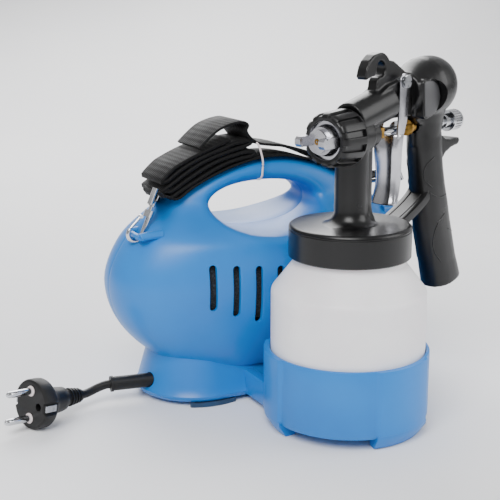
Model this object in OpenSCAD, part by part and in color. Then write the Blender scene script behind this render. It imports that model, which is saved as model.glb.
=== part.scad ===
// Electric HVLP paint sprayer: a floor-standing turbine with a carrying handle,
// a clip-on cup holder at its front, and a siphon-cup spray gun standing in the holder.
// Origin: centre of the turbine's base on the floor. +X runs along the turbine, -Y is the front
// with the cup holder, +Z is up. Millimetres.

/* [Turbine body] */
// Length of the body, side to side
body_l = 242; // [205:1:290]
// Depth of the body, front to back
body_d = 114; // [110:1:136]
// Height of the handle's top above the floor
body_h = 171.5; // [156:0.5:205]
// Height at which the body is widest
widest_z = 88; // [80:1:94]
// Wall thickness of the two shells
wall = 3; // [2:0.5:3.5]
// Depth of the carrying handle, front to back
handle_d = 42; // [34:1:50]
// Length of the hand hole
hole_l = 92; // [76:1:104]
// Height of the hand hole
hole_h = 40; // [32:1:44]
// Thickness of the handle above the hand hole
handle_t = 13; // [10:0.5:16]
// Width of a ventilation slot
slot_w = 5; // [3:0.5:6]
// Length of the middle ventilation slot
slot_l = 44; // [36:1:50]
// Number of ventilation slots, odd
slot_n = 9; // [5:2:9]
// Distance from slot to slot
slot_pitch = 16.5; // [14:0.5:18]

/* [Base and feet] */
// Height of the body's flat underside
base_h = 27; // [24:1:30]
// Height that the base's wall reaches at its ends
base_top = 42; // [36:1:46]
// Radius of each round end of the base at the floor
base_r = 45; // [40:1:47]
// Distance between the two round ends' centres
base_span = 114; // [94:1:120]
// How much narrower the base is at its top
base_flare = 11; // [8:1:14]
// Height of the rubber feet
foot_h = 3; // [2:0.5:4]

/* [Cup holder] */
// Distance from the base's centre to the cup's axis
holder_back = 110; // [106:1:134]
// How far the cup's axis lies to the right of the base's centre
holder_side = 7; // [0:1:12]
// Height of the holder's rim
holder_h = 55; // [46:1:62]
// Wall thickness of the holder
holder_wall = 2.5; // [2:0.25:3.5]
// How far the three ribs stand out
rib_out = 1.8; // [1:0.1:2.5]
// Width of each rib, degrees
rib_arc = 48; // [40:1:56]
// Turn of the ribs about the cup's axis, degrees
rib_turn = 12; // [0:1:16]
// Distance between the two tongues' centres
tongue_span = 78; // [70:1:84]
// Thickness of a tongue
tongue_t = 8; // [6:0.5:10]
// Height of a tongue
tongue_h = 17.7; // [14:0.1:18]

/* [Cup] */
// Outer radius of the paint cup
cup_r = 52.5; // [46:0.5:58]
// Height of the cup's underside above the floor
cup_z = 10; // [9:0.5:12]
// Wall thickness of the cup
cup_wall = 2; // [1.5:0.25:2.5]
// Outer radius of the cup's threaded neck
neck_r = 36.5; // [30:0.5:38]

/* [Spray gun] */
// Turn of the spray axis from the turbine's long side, degrees
gun_turn = 20; // [10:1:30]
// Radius of the gun's lid over the cup
lid_r = 41; // [40:0.5:44]
// Height of the spray axis above the floor
spray_z = 198; // [194:1:204]
// Radius of the barrel
barrel_r = 12; // [10:0.5:13]
// Rise of the barrel to the rear, degrees
barrel_rise = 13.5; // [10:0.5:15]
// Thickness of the hanging hook
hook_t = 8; // [6:0.5:10]
// Half the width of the gun's waist between the trigger plates
waist_w = 7.6; // [7:0.1:8.5]
// Radius of the hose socket in the grip's end
inlet_r = 9.5; // [8:0.25:10]

/* [Nozzle and needle] */
// Radius of the fluid needle's shank
needle_r = 2; // [1.5:0.1:2.2]
// Radius of the collar nut at its back
collar_r = 19; // [17:0.5:20]
// Radius of the air cap's flange
cap_r = 13.5; // [12:0.5:14]
// Travel of the needle
needle_travel = 8; // [6:0.5:9]
// Radius of the flow knob
knob_r = 7.7; // [6:0.1:9]

/* [Motor and fan] */
// Radius of the motor's housing
motor_r = 32; // [30:0.5:32.5]
// Length of the motor's housing
motor_l = 60; // [54:1:64]
// Radius of the fan wheel
fan_r = 34; // [28:0.5:34.5]
// Radius of the motor shaft
shaft_r = 4; // [3:0.25:5]
// Radius of the air outlet's bore
outlet_r = 16; // [13:0.5:17]

/* [Cord] */
// Diameter of the mains cord
cord_d = 6.2; // [5:0.1:7]
// Length of the cord's rubber sleeve
guard_l = 35; // [28:1:36]

/* [Strap] */
// Width of the strap's webbing
strap_w = 38; // [30:1:40]

/* [Hidden] */

blue = "#2f90dd";
black = "#1c1c1e";
gap = 0.3;              // clearance between pieces on different bodies
run = 0.05;             // radial clearance of a running shaft
$fn = 48;

// ---- turbine body ----
lower_reach = 79;       // half height of the ellipse that shapes the body's lower part
shoulder_z = body_h - 56;
handle_z = body_h - 26;
round_z = body_h - 21.5;
body_rings = 18;
body_sides = 40;
hole_x = -8;
hole_z = body_h - handle_t - hole_h / 2;
shaft_z = base_h + 43;
fan_x = -58;            // left face of the fan housing
fan_w = 36;
motor_x = fan_x + fan_w;
boss_r = 4.5;
screw_r = 1.75;
shell_screws = [[-96, 72], [96, 72], [-82, 118], [82, 118], [-64, 142], [62, 140]];
base_screw_at = [56, 24];

function smooth(t) = let (u = min(1, max(0, t))) u * u * (3 - 2 * u);
function dome(u, n) = pow(max(0, 1 - pow(max(0, u), n)), 1 / n);
function half_len(z, g) = z >= widest_z
    ? (body_l / 2 + g) * dome((z - widest_z) / (body_h + g - widest_z), 1.7)
    : (body_l / 2 + g) * dome((widest_z - z) / (lower_reach + g), 2);
function bulge_dep(z, g) = (body_d / 2 + g) * dome(abs(z - widest_z) / (widest_z + g), 2);
function handle_dep(z, g) = (handle_d / 2 + g) * dome((z - round_z) / (body_h + g - round_z), 2.2);
function half_dep(z, g) = let (s = smooth((z - shoulder_z) / (handle_z - shoulder_z)))
    (1 - s) * bulge_dep(z, g) + s * handle_dep(z, g);
function oval(a, b, n, count) =
    [for (i = [0:count - 1]) let (c = cos(360 * i / count), s = sin(360 * i / count))
        [a * sign(c) * pow(abs(c), 2 / n), b * sign(s) * pow(abs(s), 2 / n)]];
// height of the handle's ridge at x
function ridge_z(x) = widest_z + (body_h - widest_z) * dome(abs(x) / (body_l / 2), 1.7);

// Closed skin through a list of equal rings
module skin(rings) {
    n = len(rings[0]);
    m = len(rings);
    polyhedron(
        points = [for (r = rings) each r],
        faces = concat(
            [[for (i = [0:n - 1]) i]],
            [for (k = [0:m - 2], i = [0:n - 1]) each [
                [k * n + i, (k + 1) * n + i, k * n + (i + 1) % n],
                [k * n + (i + 1) % n, (k + 1) * n + i, (k + 1) * n + (i + 1) % n]]],
            [[for (i = [n - 1:-1:0]) (m - 1) * n + i]]));
}

// The body's outer form, grown by g (negative for the cavity)
module body_form(g) {
    low = base_h - g;
    high = body_h + g - 0.3;
    skin([for (k = [0:body_rings]) let (z = low + (high - low) * (1 - pow(1 - k / body_rings, 1.5)))
        [for (p = oval(half_len(z, g), half_dep(z, g), 2.3, body_sides)) [p[0], p[1], z]]]);
}

module hand_hole(g) {
    translate([hole_x, body_d, hole_z])
        rotate([90, 0, 0])
            linear_extrude(2 * body_d)
                polygon(oval(hole_l / 2 + g, hole_h / 2 + g, 2.2, 48));
}

// Round bar between two points in the XZ plane of its own frame
module bar(from, to, r) {
    d = to - from;
    translate([from[0], 0, from[1]])
        rotate([0, 90 - atan2(d[1], d[0]), 0])
            cylinder(h = norm(d), r = r);
}

module along_x(x, r, h) translate([x, 0, 0]) rotate([0, 90, 0]) cylinder(h = h, r = r);
module along_y(y, r, h) translate([0, y, 0]) rotate([-90, 0, 0]) cylinder(h = h, r = r);

module shell_supports() {
    for (p = shell_screws)
        translate([p[0], 0, p[1]]) along_y(-body_d, boss_r, 2 * body_d);
    for (sx = [-1, 1], sy = [-1, 1])
        translate([sx * base_screw_at[0], sy * base_screw_at[1], 0]) cylinder(h = base_h + 8, r = boss_r);
    // ribs that carry the motor's rubber rings
    for (r = [[motor_x + 2, motor_r + 6], [motor_x + motor_l + 2, rear_r + 6]])
        difference() {
            translate([r[0], filter_y + 0.5, 0]) cube([4, body_d, hole_z - hole_h / 2]);
            translate([0, 0, shaft_z]) along_x(r[0] - 1, r[1], 6);
        }
}

module shell_half(side) {
    difference() {
        intersection() {
            union() {
                body_form(0);
                strap_lugs();
            }
            translate([-body_l, side > 0 ? 0 : -body_d, 0]) cube([2 * body_l, body_d, 2 * body_h]);
        }
        hand_hole(0);
        difference() {
            body_form(-wall);
            hand_hole(wall);
            shell_supports();
        }
        for (p = shell_screws)
            translate([p[0], 0, p[1]]) along_y(-14, screw_r, 30);
        for (sx = [-1, 1], sy = [-1, 1])
            translate([sx * base_screw_at[0], sy * base_screw_at[1], base_h - 1])
                cylinder(h = 7.5, r = screw_r);
    }
}

// Ventilation slots, longest in the middle
module vent_slots() {
    for (i = [-(slot_n - 1) / 2:(slot_n - 1) / 2]) {
        half = slot_l / 2 - slot_w / 2 - 0.35 * i * i;
        translate([i * slot_pitch, -body_d, widest_z]) {
            translate([-slot_w / 2, 0, -half]) cube([slot_w, body_d - 12, 2 * half]);
            for (s = [-1, 1])
                translate([0, 0, s * half]) along_y(0, slot_w / 2, body_d - 12);
        }
    }
}

module front_shell() {
    color(blue) difference() {
        shell_half(-1);
        vent_slots();
    }
}

head_y = 14;            // where the housing screws' heads seat
module back_shell() {
    color(blue) difference() {
        shell_half(1);
        for (p = shell_screws)
            translate([p[0], 0, p[1]]) along_y(head_y, 3.2, body_d);
        translate([outlet_x, 0, shaft_z]) along_y(10, outlet_r + 3, body_d);
        translate([switch_x, 20, switch_z]) {
            translate([-switch_l / 2, 0, -switch_h / 2]) cube([switch_l, body_d, switch_h]);
            translate([-switch_l / 2 - 3 - gap, switch_y - 20, -switch_h / 2 - 3 - gap])
                cube([switch_l + 6 + 2 * gap, body_d, switch_h + 6 + 2 * gap]);
        }
    }
}

module housing_screws() {
    color("dimgray") for (p = shell_screws)
        translate([p[0], 0, p[1]]) {
            along_y(-13, screw_r, 13 + head_y);
            difference() {
                along_y(head_y, 3, 2.4);
                translate([-2.2, head_y + 1.2, -0.4]) cube([4.4, 2, 0.8]);
                translate([-0.4, head_y + 1.2, -2.2]) cube([0.8, 2, 4.4]);
            }
        }
}

// ---- base ----
base_at = base_span / 2;
module base_form(low, high, g) {
    taper = base_flare / (base_top - foot_h);
    low_r = base_r + g - taper * (low - foot_h);
    high_r = base_r + g - taper * (high - foot_h);
    hull() for (s = [-1, 1])
        translate([s * base_at, 0, low]) cylinder(h = high - low, r1 = low_r, r2 = high_r);
}

guard_from = [-91, -9, 14.5];   // middle of the sleeve's root
guard_turn = 170;               // heading of the sleeve, degrees from +X
module at_guard() translate(guard_from) rotate([0, 0, guard_turn]) children();

tongue_z = 4.3;
tongue_reach = 13;      // how far the tongues enter the base
base_front = base_r - base_flare * (tongue_z + tongue_h - foot_h) / (base_top - foot_h);
tongue_y = -base_front + tongue_reach - 4;
module tongue(s, g) {
    y0 = -holder_back + sqrt(pow(cup_r + gap + holder_wall, 2) - pow(tongue_span / 2, 2)) - 2;
    translate([holder_side + s * tongue_span / 2 - tongue_t / 2 - g, y0, tongue_z - g])
        cube([tongue_t + 2 * g, tongue_y - y0 + g, tongue_h + 2 * g]);
}

module base_tray() {
    color(blue) difference() {
        base_form(foot_h, base_top, 0);
        body_form(0);
        difference() {
            base_form(foot_h + wall, base_top + 1, -wall);
            for (sx = [-1, 1], sy = [-1, 1])
                translate([sx * base_screw_at[0], sy * base_screw_at[1], 0]) cylinder(h = base_h, r = 5);
        }
        for (sx = [-1, 1], sy = [-1, 1])
            translate([sx * base_screw_at[0], sy * base_screw_at[1], 0]) {
                cylinder(h = base_h + 1, r = screw_r);
                cylinder(h = foot_h + wall + 3, r = 3.4);
            }
        for (s = [-1, 1]) tongue(s, gap);
        at_guard() along_x(-8, guard_r, 24);
    }
}

module rubber_feet() {
    color("#1d4f80") for (sx = [-1, 1], sy = [-1, 1])
        intersection() {
            translate([sx * base_at, 0, 0]) cylinder(h = foot_h, r = base_r - 0.6);
            translate([sx * (base_at + 4) - 17, sy * base_r - 8, -1]) cube([34, 16, foot_h + 2]);
        }
    color("#1d4f80") cylinder(h = foot_h, r = 10);
}

module base_screws() {
    color("dimgray") for (sx = [-1, 1], sy = [-1, 1])
        translate([sx * base_screw_at[0], sy * base_screw_at[1], foot_h + wall + 0.6]) {
            cylinder(h = 2.4, r = 3.2);
            cylinder(h = base_h + 5.4 - foot_h - wall, r = screw_r);
        }
}

// ---- air outlet ----
outlet_x = fan_x + 1 + fan_w / 2;
outlet_y0 = fan_r + 8;
outlet_y1 = body_d / 2 + 8;
module outlet_socket() {
    color(black) translate([outlet_x, 0, shaft_z]) difference() {
        union() {
            along_y(outlet_y0, outlet_r + 3 - gap, outlet_y1 - outlet_y0);
            along_y(outlet_y1 - 5, outlet_r + 6, 5);
        }
        along_y(outlet_y0 + 3, outlet_r, outlet_y1);
        along_y(0, outlet_r - 3, body_d);
    }
}

module outlet_gasket() {
    color("#333333") translate([outlet_x, 0, shaft_z]) difference() {
        along_y(outlet_y1 - 7, outlet_r + 5, 2);
        along_y(0, outlet_r + 3, body_d);
    }
}

// ---- filter behind the ventilation slots ----
filter_y = 3.4 - fan_r - 9;      // back of the frame
filter_l = (slot_n - 1) * slot_pitch + 8;
module filter_foam() {
    color("#3a3a3a") intersection() {
        translate([-filter_l / 2, -body_d / 2, widest_z - 24])
            cube([filter_l, body_d / 2 + filter_y - 1.2, 48]);
        body_form(-wall - gap);
    }
}

module filter_frame() {
    color(black) intersection() {
        difference() {
            translate([-filter_l / 2 - 1.5, -body_d / 2, widest_z - 25.5])
                cube([filter_l + 3, body_d / 2 + filter_y, 51]);
            translate([-filter_l / 2, -body_d, widest_z - 24])
                cube([filter_l, body_d + filter_y - 1.2, 48]);
            for (i = [-3:3])
                translate([i * filter_l / 7.4 - 7, filter_y - 2, widest_z - 21]) cube([14, 4, 42]);
        }
        body_form(-wall - gap);
    }
}

// ---- motor and fan, on a shaft along X ----
rear_r = 24;
bearing_r = 11;
bearing_w = 7;
shaft_end = motor_x + motor_l + 9;
module on_shaft() translate([0, 0, shaft_z]) children();

module fan_housing() {
    color("#2a2a2c") on_shaft() difference() {
        union() {
            along_x(fan_x + 2, fan_r + 5, fan_w - 2);
            translate([outlet_x, 0, 0]) along_y(0, outlet_r + 1, outlet_y0);
        }
        along_x(fan_x + 1, fan_r + 3, fan_w - 3);
        along_x(fan_x, shaft_r + 4, fan_w + 4);
        translate([outlet_x, 0, 0]) along_y(0, outlet_r - 3, body_d);
    }
}

module fan_cover() {
    color("#2a2a2c") on_shaft() difference() {
        along_x(fan_x - 1, fan_r + 5, 3);
        along_x(fan_x - 2, 16, 6);
    }
}

module fan_wheel() {
    x0 = fan_x + 4;
    w = fan_w - 10;
    color("silver") on_shaft() difference() {
        union() {
            along_x(x0 + w - 2, fan_r, 2);
            difference() {
                along_x(x0, fan_r, 1.5);
                along_x(x0 - 1, 15, 4);
            }
            along_x(x0 + 2, shaft_r + 3, w - 2);
            translate([x0 + 0.5, 0, 0]) rotate([0, 90, 0]) linear_extrude(w - 1)
                for (i = [0:8])
                    rotate(40 * i) intersection() {
                        translate([0, 30]) difference() { circle(22); circle(20.5); }
                        difference() { circle(fan_r - 0.5); circle(15.5); }
                        translate([0, -40]) square([40, 80]);
                    }
        }
        along_x(fan_x - 5, shaft_r, 80);
    }
}

module fan_nut() {
    color("gray") on_shaft() difference() {
        translate([fan_x, 0, 0]) rotate([0, 90, 0]) cylinder(h = 6, r = 8, $fn = 6);
        along_x(fan_x - 1, shaft_r, 8);
    }
}

module motor_shaft() {
    color("silver") on_shaft() along_x(fan_x - 2, shaft_r, shaft_end - fan_x + 2);
}

module armature() {
    x0 = motor_x + 16;
    color("#8a5a34") on_shaft() difference() {
        union() {
            difference() {
                along_x(x0, 19, 28);
                for (i = [0:11])
                    rotate([30 * i, 0, 0]) translate([x0 - 1, -1, 15.5]) cube([30, 2, 5]);
            }
            along_x(x0 - 5, 15, 38);
        }
        along_x(x0 - 6, shaft_r, 40);
    }
}

module commutator() {
    x0 = motor_x + 49.3;
    color("#b87333") on_shaft() difference() {
        along_x(x0, 10, motor_l - 51.3);
        along_x(x0 - 1, shaft_r, 20);
        for (i = [0:11])
            rotate([30 * i + 15, 0, 0]) translate([x0 - 1, -0.3, 9.2]) cube([20, 0.6, 2]);
    }
}

module motor_housing() {
    color("#9a9a9a") on_shaft() difference() {
        along_x(motor_x, motor_r, motor_l);
        along_x(motor_x + 3, motor_r - 2, motor_l);
        along_x(motor_x - 1, bearing_r, 5);
        for (i = [0:5])
            rotate([60 * i, 0, 0]) translate([motor_x - 1, -4, 20]) cube([5, 8, 6]);
    }
}

module front_bearing() {
    color("silver") on_shaft() difference() {
        along_x(motor_x, bearing_r, bearing_w);
        along_x(motor_x - 1, shaft_r + run, 9);
        difference() {
            along_x(motor_x - 1, 9, 2);
            along_x(motor_x - 2, 6, 4);
        }
    }
}

module rear_bearing() {
    x0 = motor_x + motor_l + 1;
    color("silver") on_shaft() difference() {
        along_x(x0, bearing_r, bearing_w);
        along_x(x0 - 1, shaft_r + run, 9);
        difference() {
            along_x(x0 + bearing_w - 1, 9, 2);
            along_x(x0 + bearing_w - 2, 6, 4);
        }
    }
}

module rear_bracket() {
    x0 = motor_x + motor_l;
    color("#8a8a8a") on_shaft() difference() {
        union() {
            along_x(x0, motor_r, 2);
            along_x(x0, rear_r, 8);
        }
        along_x(x0 + 1, bearing_r, 9);
        along_x(x0 - 1, shaft_r + 2, 4);
        for (i = [0:5])
            rotate([60 * i + 30, 0, 0]) translate([x0 - 1, -5, 25.5]) cube([5, 10, 5]);
    }
}

module stator_core() {
    x0 = motor_x + 16;
    color("#707070") on_shaft() difference() {
        along_x(x0, motor_r - 2, 28);
        along_x(x0 - 1, 19.6, 30);
        for (s = [-1, 1])
            translate([x0 - 1, s * 24 - 3.2, -13]) cube([30, 6.4, 26]);
    }
}

module field_coils() {
    x0 = motor_x + 12;
    color("#a0522d") on_shaft() for (s = [-1, 1])
        translate([x0, s * 24 - 3, -12.5]) cube([36, 6, 25]);
}

brush_x = motor_x + motor_l - 6;
module brush_holders() {
    color("#c9a14a") on_shaft() for (s = [0, 180])
        rotate([s, 0, 0]) difference() {
            translate([brush_x - 4.5, -5.5, 13]) cube([9, 11, motor_r - 15.9]);
            translate([brush_x - 3, -4, 12]) cube([6, 8, motor_r - 16]);
        }
}

module carbon_brushes() {
    color("#222222") on_shaft() for (s = [0, 180])
        rotate([s, 0, 0]) intersection() {
            translate([brush_x - 3, -4, 9]) cube([6, 8, 17]);
            difference() {
                along_x(brush_x - 4, 40, 8);
                along_x(brush_x - 5, 10 + run, 10);
            }
        }
}

module motor_mounts() {
    color("#303030") on_shaft() {
        difference() {
            along_x(motor_x + 1, motor_r + 6, 6);
            along_x(motor_x, motor_r, 9);
        }
        difference() {
            along_x(motor_x + motor_l + 2.5, rear_r + 6, 5);
            along_x(motor_x + motor_l, rear_r, 9);
        }
    }
}

// ---- switch, on the back ----
switch_x = 48;
switch_z = 92;
switch_l = 24;
switch_h = 34;
switch_y = body_d / 2 - 3;      // outer face of the bezel
module switch_bezel() {
    color(black) translate([switch_x, 0, switch_z]) difference() {
        union() {
            translate([-switch_l / 2 + gap, switch_y - 14, -switch_h / 2 + gap])
                cube([switch_l - 2 * gap, 14, switch_h - 2 * gap]);
            translate([-switch_l / 2 - 3, switch_y, -switch_h / 2 - 3]) cube([switch_l + 6, 3, switch_h + 6]);
        }
        translate([-8, switch_y - 10, -13]) cube([16, 20, 26]);
        translate([-12, switch_y - 5, 0]) along_x(0, 1.5 + run, 24);
    }
}

module switch_rocker() {
    color("#b02020") translate([switch_x, switch_y - 5, switch_z]) {
        along_x(-11.5, 1.5, 23);
        rotate([6, 0, 0]) intersection() {
            translate([-7.7, -2, -12.5]) cube([15.4, 16, 25]);
            difference() {
                along_x(-7.7, 12.8, 15.4);
                translate([0, 27, 0]) along_x(-9, 19, 18);
            }
        }
    }
}

// ---- mains cord ----
guard_r = 5.15;
module cord_clamp() {
    color("#2a2a2a") at_guard() difference() {
        translate([-30, -7, -8]) cube([10, 14, 16]);
        along_x(-31, cord_d / 2 + run, 12);
    }
}

module cable_guard() {
    color(black) at_guard() difference() {
        union() {
            along_x(-12, guard_r + 2.5, 3);
            along_x(-9, guard_r, guard_l + 9);
            along_x(guard_l - 2, guard_r + 0.6, 2);
        }
        along_x(-13, cord_d / 2 + run, guard_l + 20);
    }
}

// Cord route: straight through the sleeve, then down to the floor and into the plug
plug_tail = [-149, -5.8, 11.5];
plug_heading = 202;
plug_rise = 8;
plug_dir = [cos(plug_rise) * cos(plug_heading), cos(plug_rise) * sin(plug_heading), sin(plug_rise)];
cord_points = [[-54, -15.5, 14.5], [-91, -9, 14.5], [-109, -5.8, 14.5], [-125.5, -2.9, 14.5],
    [-130, -2.3, 14.1], [-135, -2.2, 12.9], [-139.5, -2.7, 11.7], [-143.2, -3.7, 11.1],
    plug_tail - 3 * plug_dir, plug_tail - 0.02 * plug_dir];

function lerp(a, b, t) = a + (b - a) * t;
function unit(v) = v / norm(v);
// ring of points about p, square to direction d
function ring(p, d, r, n) = let (u = unit(cross([0, 0, 1], d)), v = cross(unit(d), u))
    [for (i = [0:n - 1]) p + r * (cos(360 * i / n) * u + sin(360 * i / n) * v)];
function heading(pts, i) = unit(pts[min(i + 1, len(pts) - 1)] - pts[max(i - 1, 0)]);

module tube(pts, r, n) skin([for (i = [0:len(pts) - 1]) ring(pts[i], heading(pts, i), r, n)]);

module power_cord() {
    color(black) tube(cord_points, cord_d / 2, 12);
}

plug_r = 17.2;
plug_l = 45;            // from the tail to the face
module at_plug() translate(plug_tail) rotate([0, -plug_rise, plug_heading]) children();

module plug_body() {
    color(black) at_plug() difference() {
        union() {
            rotate([0, 90, 0]) rotate_extrude()
                polygon([[0, 0], [4.2, 0], [6, 14], [8.5, 17], [10, 27], [13, 32], [plug_r - 1, 35],
                    [plug_r, 37], [plug_r, plug_l - 1], [plug_r - 1, plug_l], [0, plug_l]]);
            for (k = [0:3])
                along_x(2.5 + 2.6 * k, 5.4 + 0.35 * k, 1.4);
        }
        for (s = [-1, 1]) {
            translate([plug_l - 14, s * plug_r - 3, -4]) cube([20, 6, 8]);
            translate([0, 0, s * 9.5]) along_x(plug_l - 10, 2.4, 12);
        }
        translate([0, 8, 0]) along_x(plug_l - 12, 2.6, 14);
    }
}

module plug_pins() {
    color("silver") at_plug() for (s = [-1, 1])
        translate([0, 0, s * 9.5]) {
            along_x(plug_l - 10, 2.4, 28);
            translate([plug_l + 18, 0, 0]) sphere(r = 2.4);
        }
}

// ---- strap, its hooks and the tie ----
lug_z = 125;            // height of the bar that a strap hook holds
lug_y = -15;
lug_x = half_len(lug_z, 0) + 6.4;
lug_r = 2.2;
hook_wire = 1.6;
hook_lean = 24;         // lean of the hooks towards the handle, degrees
hook_turn = 30;         // turn of the loop on its swivel
module strap_lugs() {
    for (s = [-1, 1]) translate([s * lug_x, lug_y, lug_z]) {
        along_y(-9, lug_r, 18);
        for (y = [-11, 8]) translate([s > 0 ? -11 : -lug_r, y, -lug_r]) cube([11 + lug_r, 3, 2 * lug_r]);
    }
}

// Frame of one hook: origin at the centre of its bend, +z up the shank; the bar lies in the bend's bottom
hook_room = 1;          // play above the bar, so the gate can swing in past it
hook_bend = lug_r + gap + hook_wire + hook_room;
module at_hook(s)
    translate([s * lug_x, lug_y, lug_z])
        mirror([s > 0 ? 1 : 0, 0, 0])
            rotate([0, hook_lean, 0]) translate([0, 0, hook_room]) children();

module strap_hook(s) {
    color("silver") at_hook(s) {
        rotate([90, 0, 0]) rotate([0, 0, 160])
            rotate_extrude(angle = 200) translate([hook_bend, 0]) circle(hook_wire, $fn = 24);
        translate([hook_bend, 0, 0]) cylinder(h = 15, r = hook_wire + 0.15);
        translate([hook_bend - 1, 0, 14]) cylinder(h = 5, r = 3.4);
        translate([hook_bend - 1, 0, 18]) cylinder(h = 6, r = 1.3);
        translate([hook_bend - 1, 0, 22]) cylinder(h = 4, r = 2.4);
        // loop that the webbing passes through
        translate([hook_bend - 1, 0, 25]) rotate([0, 0, -hook_turn]) {
            for (z = [0, 8]) translate([0, 0, z]) along_y(-strap_w / 2 - 1, 1.5, strap_w + 2);
            for (t = [-1, 1]) translate([0, t * (strap_w / 2 + 1), -1.7]) cylinder(h = 11.7, r = 1.9);
        }
    }
}
module strap_hook_left() { strap_hook(-1); }
module strap_hook_right() { strap_hook(1); }

module hook_gate(s) {
    color("silver") at_hook(s)
        translate([0.3 - hook_bend, 0, 2.7]) rotate([0, 22, 0]) {
            cylinder(h = 11, r = 1.1);
            translate([0, 0, 11]) along_y(-1.6, 1.25, 3.2);
        }
}
module hook_gate_left() { hook_gate(-1); }
module hook_gate_right() { hook_gate(1); }

// Plain solids of the webbing; top and bottom follow the handle's ridge
module webbing(x0, x1, lift, top) {
    n = 14;
    xs = [for (i = [0:n]) lerp(x0, x1, i / n)];
    translate([0, strap_w / 2, 0]) rotate([90, 0, 0]) linear_extrude(strap_w)
        polygon(concat(
            [for (x = xs) [x, ridge_z(x) + lift]],
            [for (i = [n:-1:0]) [xs[i], ridge_z(xs[i]) + lerp(top[0], top[1], i / n)]]));
}

strap_lift = 0.6;
module strap_bundle() {
    color("#151515") {
        webbing(-80, -26, 8.2, [21, 26]);
        webbing(-26, 56, strap_lift, [14, 9]);
    }
}

module strap_runs() {
    color("#151515") {
        webbing(-77, -26.3, strap_lift, [7.8, 7.8]);
        webbing(56.3, 77, strap_lift, [7.8, 7.8]);
    }
}

module twist_tie() {
    low = hole_z + hole_h / 2 - 1.6;
    high = body_h + 16;
    color("#e8dcdc") translate([-12, 0, 0]) difference() {
        translate([0, -handle_d / 2 - 1.6, low]) cube([1.2, handle_d + 3.2, high - low]);
        translate([-1, -handle_d / 2 - 0.4, low + 1.2]) cube([4, handle_d + 0.8, high - low - 2.4]);
    }
}

// ---- cup holder ----
module at_cup() translate([holder_side, -holder_back, 0]) children();

holder_in = cup_r + gap + 0.2;
holder_out = holder_in + holder_wall;
holder_floor = cup_z - 2.3;
module cup_holder() {
    color(blue) difference() {
        union() {
            at_cup() {
                translate([0, 0, holder_floor]) cylinder(h = holder_h - holder_floor, r = holder_out);
                for (i = [0:2]) rotate(rib_turn - 90 + 120 * i - rib_arc / 2)
                    rotate_extrude(angle = rib_arc)
                        polygon([[holder_in - 9, 0], [holder_in - 2, 0], [holder_out + rib_out, 8],
                            [holder_out + rib_out, holder_h], [holder_in + 1, holder_h],
                            [holder_in + 1, holder_floor + 1], [holder_in - 9, holder_floor + 1]]);
            }
            for (s = [-1, 1]) tongue(s, 0);
        }
        at_cup() translate([0, 0, cup_z - gap]) cylinder(h = holder_h, r = holder_in);
    }
}

// ---- cup ----
cup_top = 131;
lid_z = 118;
lid_top = 140;
function arc(c, r, a0, a1, n) =
    [for (i = [0:n]) let (a = lerp(a0, a1, i / n)) [c[0] + r * cos(a), c[1] + r * sin(a)]];
module paint_cup() {
    side_top = 100;
    shoulder = 113;
    outer = concat([[0, cup_z]], arc([cup_r - 5, cup_z + 5], 5, -90, 0, 6),
        arc([cup_r - 6, side_top - 4], 6, 0, 45, 5),
        [[neck_r + 1.5, shoulder], [neck_r, shoulder + 1.5], [neck_r, cup_top]]);
    t = cup_wall;
    inner = concat([[neck_r - t, cup_top], [neck_r - t, shoulder + 0.5]],
        arc([cup_r - 6, side_top - 4], 6 - t, 45, 0, 5),
        arc([cup_r - 5, cup_z + 5], 5 - t, 0, -90, 6), [[0, cup_z + t]]);
    color("#f4f0f2") at_cup() {
        rotate_extrude() polygon(concat(outer, inner));
        for (z = [119.5, 124.5])
            translate([0, 0, z]) difference() {
                cylinder(h = 1.4, r = neck_r + 0.9);
                translate([0, 0, -1]) cylinder(h = 4, r = neck_r - 0.5);
            }
    }
}

module cup_gasket() {
    color("#d8d0b8") at_cup() translate([0, 0, cup_top]) difference() {
        cylinder(h = 1.8, r = neck_r);
        translate([0, 0, -1]) cylinder(h = 4, r = neck_r - 7);
    }
}

// ---- spray gun: +x is the way it sprays, +y its left side ----
module at_gun() at_cup() rotate([0, 0, 180 + gun_turn]) children();

pivot = [-45, 231];
tube_r = 4;
waist_x = -57;          // where head and handle meet
barrel_front = [8, spray_z + 9];
function barrel_at(x) = [x, barrel_front[1] + (barrel_front[0] - x) * tan(barrel_rise)];

module plate(t, pts) translate([0, t / 2, 0]) rotate([90, 0, 0]) linear_extrude(t) polygon(pts);

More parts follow.
